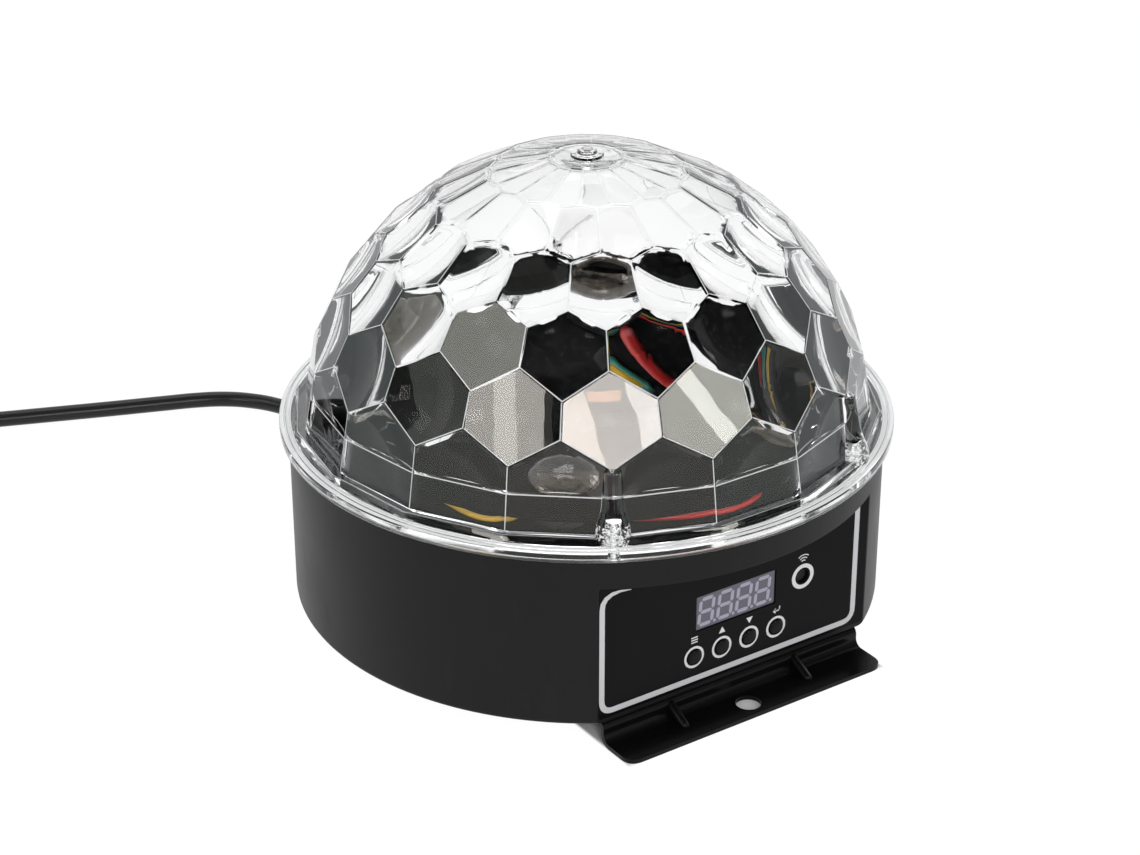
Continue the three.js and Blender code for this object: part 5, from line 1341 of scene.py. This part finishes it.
def makeWheel():
    w = wheel
    hub, top, bottom, seat, rib = w["hub"], w["top"], w["bottom"], w["lensSeat"], w["ribWidth"] / 2
    under, inner, ledge = top - w["plate"], w["radius"] - w["skirt"], top - w["seatDepth"]
    profile = [(0, under - 4), (hub, under - 4, 0.4), (hub, under, 0.6), (inner, under, 0.8),
               (inner, bottom), (w["radius"], bottom, 0.3), (w["radius"], top, 1.4), (hub, top, 1.0),
               (hub, w["hubTop"], 0.6), (0, w["hubTop"])]
    made = asObject(turned(profile, 144), "lensWheel")
    outline = windowOutline(*w["window"], math.radians(w["windowHalf"]), w["windowCorner"])
    rebate = [(0, bottom - 1), (seat, bottom - 1), (seat, ledge), (w["lens"] + 0.3, ledge),
              (w["lens"] + 0.3, top + 2), (0, top + 2)]
    ribs, windows, seats = [], [], []
    for angle in lensAngles:
        bar = block(-rib, rib, seat - w["lensRing"], -hub / 2, under - w["ribDepth"], under + 1.1)
        ribs.append(settled(bar, turnedZ(angle)))
        turn = turnedZ(angle + math.radians(30) - quarterTurn)
        windows.append(extruded(outline, under - 5, top + 2, turn))
        seats.append(turned(rebate, 48, moved(*onRing(w["lensRing"], angle))))
    carved(made, together(*ribs), operation="UNION")
    carved(made, together(*windows), together(*seats))
    carved(made, drum(w["bore"], bottom - 2, w["hubTop"] + 2, 32))
    finished(made, wheelBlack, "wheel", "lens_wheel", bevel=0.25, sharp=34)

    foot = ledge + 0.3
    brim = foot + w["edge"]
    curve = (w["lens"] ** 2 + w["crown"] ** 2) / (2 * w["crown"])
    spread = math.asin(w["lens"] / curve)
    profile = [(0, foot), (w["lens"], foot, 0.25), (w["lens"], brim, 0.15)]
    for i in range(1, 12):
        a = spread * (1 - i / 12)
        profile.append((curve * math.sin(a), brim + curve * math.cos(a) - (curve - w["crown"])))
    profile.append((0, brim + w["crown"]))
    for k, angle in enumerate(lensAngles):
        lens = turned(profile, 56, moved(*onRing(w["lensRing"], angle)))
        finished(asObject(lens, f"wheelLens{k + 1}"), lensSmoky, "wheel", f"wheel_lens_{k + 1}")
    screw = settled(screwShape(*w["screw"]), moved(0, 0, w["screwZ"]))
    finished(asObject(screw, "wheelScrew"), screwSteel, "wheel", "wheel_screw")


makeWheel()
print("wheel made")


# Light sources: star boards with brass pads, each with a yellow chip under a clear bead
source = {"radius": 10.0, "base": 68.3, "thickness": 1.6, "notch": 1.6, "body": 4.0, "bodyHeight": 1.5,
          "cap": 2.7, "capRise": 1.9, "pad": (2.6, 1.5, 0.3, 0, 6.6), "track": (4.6, 5.0), "chip": 1.9}


def makeSources():
    s = source
    top, sixth = s["thickness"], fullTurn / 6
    bodyTop = top + s["bodyHeight"]
    inner, outer = s["track"]
    bead = [(0, bodyTop + 0.1), (s["cap"], bodyTop + 0.1, 0.2)]
    bead += [(s["cap"] * math.cos(a), bodyTop + 0.1 + (s["capRise"] - 0.1) * math.sin(a))
             for a in [math.radians(15 * i) for i in range(1, 6)]]
    bead.append((0, bodyTop + s["capRise"]))
    for k, angle in enumerate(lensAngles):
        turn = moved(*onRing(wheel["lensRing"], angle), s["base"]) @ turnedZ(angle)
        board = asObject(drum(s["radius"], 0, top, 6, turnedZ(quarterTurn)), "tool")
        notches = [drum(s["notch"], -1, top + 1, 24, moved(*onRing(s["radius"], i * sixth)))
                   for i in range(6)]
        parts = [asShape(carved(board, together(*notches)))]
        for i in range(6):
            pad = extruded(rectangle(*s["pad"]), top - 0.05, top + 0.08, turnedZ((i + 0.5) * sixth))
            parts.append(tinted(pad, 1))
        parts.append(tinted(turned([(inner, top - 0.05), (outer, top - 0.05), (outer, top + 0.05),
                                    (inner, top + 0.05)], 36), 1))
        parts.append(tinted(turned([(0, top), (s["body"], top), (s["body"], bodyTop, 0.3),
                                    (s["cap"] + 0.1, bodyTop + 0.05), (0, bodyTop - 0.2)], 36), 2))
        chip = extruded(rectangle(s["chip"], s["chip"], 0.2), bodyTop - 0.2, bodyTop + 0.15)
        parts.append(tinted(chip, 3))
        finished(asObject(settled(together(*parts), turn), f"sourceBoard{k + 1}"),
                 [maskDark, brassPins, wheelBlack, emitterYellow], "base", f"led_board_{k + 1}")
        finished(asObject(turned(bead, 28, turn), f"sourceBead{k + 1}"), lensClear, "base", ())


makeSources()


# Wires on the deck, up through one hole and round to a board, then from board to board.
# Leads: first board, side, bow of each wire, and how far along the bow is widest
wires = {"radius": 0.9, "pitch": 2.8, "holeRing": 40, "hole": 5, "share": 0.62, "deck": 68.0,
         "deckUnder": 66.0, "drop": 9, "sway": 0.4,
         "leads": [(0, 1, (7.0, 1.0, 0.0), 0.74), (2, -1, (-23.0, -12.0, -12.0), 0.5),
                   (5, -1, (0.0, 0.5, 6.5), 0.8)],
         "colours": {"Red": (0.42, 0.012, 0.010), "Green": (0.028, 0.19, 0.135),
                     "Yellow": (0.60, 0.36, 0.022)}}


def makeWires():
    w = wires
    low = w["deck"] + 0.3 + w["radius"]
    hole, ring, sixth = w["holeRing"], wheel["lensRing"], fullTurn / 6
    holeAngle = lensAngles[0] + 1.5 * sixth
    reach = (source["radius"] + 0.3 + w["radius"]) / ring
    approach = lensAngles[2] - reach
    for k, (name, colour) in enumerate(w["colours"].items()):
        aside = (k - 1) * w["pitch"]

        def along(radius, z):
            x, y = onRing(radius, holeAngle)
            return x + aside * math.cos(holeAngle), y + aside * math.sin(holeAngle), z

        points = [along(hole, w["deckUnder"] - w["drop"]), along(hole, w["deckUnder"] - w["radius"]),
                  along(hole, w["deck"] - w["radius"]), along(hole + w["hole"], low),
                  along(hole + (ring - hole) * w["share"], low),
                  (*onRing(ring - aside, (holeAngle + approach) / 2), low),
                  (*onRing(ring - aside, approach), low)]
        finish = plainInk("sleeve" + name, colour, 0.35, 0.5)
        made = curvePiece("wire" + name, points, w["radius"], finish, "base", 8, 4)
        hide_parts("wire_" + name.lower())
        "wire_" + name.lower()
        for step, (first, way, bows, peak) in enumerate(w["leads"]):
            start, end = lensAngles[first] + reach, lensAngles[first] + sixth - reach
            points = []
            for i in range(17):
                arch = math.sin(math.pi * (i / 16) ** (math.log(0.5) / math.log(peak)))
                bow = bows[k] * (arch ** 0.5 if step == 0 else arch)
                bow += w["sway"] * arch * math.cos(2.1 * k + 1.3 * step)
                points.append((*onRing(ring - way * aside + bow, start + (end - start) * i / 16), low))
            made = curvePiece(f"lead{name}{step + 1}", points, w["radius"], finish, "base", 6, 4)
            "wire_" + name.lower()


makeWires()


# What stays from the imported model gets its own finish
def circuitBoard(name, s):
    finish = Finish(name)
    where = finish.place()
    tracks = finish.node("TexVoronoi", {"feature": "DISTANCE_TO_EDGE"},
                         {"Vector": where, "Scale": 1 / s["cell"]})
    lines = finish.ramp(tracks, (0.03, 1), (0.05, 0))
    spots = finish.node("TexVoronoi", {}, {"Vector": where, "Scale": 1 / s["dot"]})
    dots = finish.ramp(spots, (0.10, 1), (0.14, 0))
    colour = finish.blend(lines * 0.5, s["mask"], s["track"])
    return finish.done(finish.surface({
        "Base Color": finish.blend(dots, colour, s["solder"]), "Metallic": dots * 0.9,
        "Roughness": 0.38 - dots * 0.1, "Normal": finish.bump(lines + dots, 0.05, 0.8)}))


circuitGreen = circuitBoard("circuitGreen", {"mask": (0.012, 0.10, 0.035), "track": (0.03, 0.22, 0.08),
                                             "solder": (0.6, 0.6, 0.6), "cell": 3.2, "dot": 2.4})
keptFinishes = {"bottom_plate": plateGrey, "led_deck": deckBlack, "drive_motor": motorMetal,
                "drive_shaft": screwSteel, "control_board": circuitGreen, "power_board": circuitGreen}
for k in range(4):
    keptFinishes[f"tact_switch_{k + 1}"] = switchDark
for name, finish in keptFinishes.items():
    for holder in cadNodes[name].material_slots:
        holder.material = finish
print("kept nodes dressed")
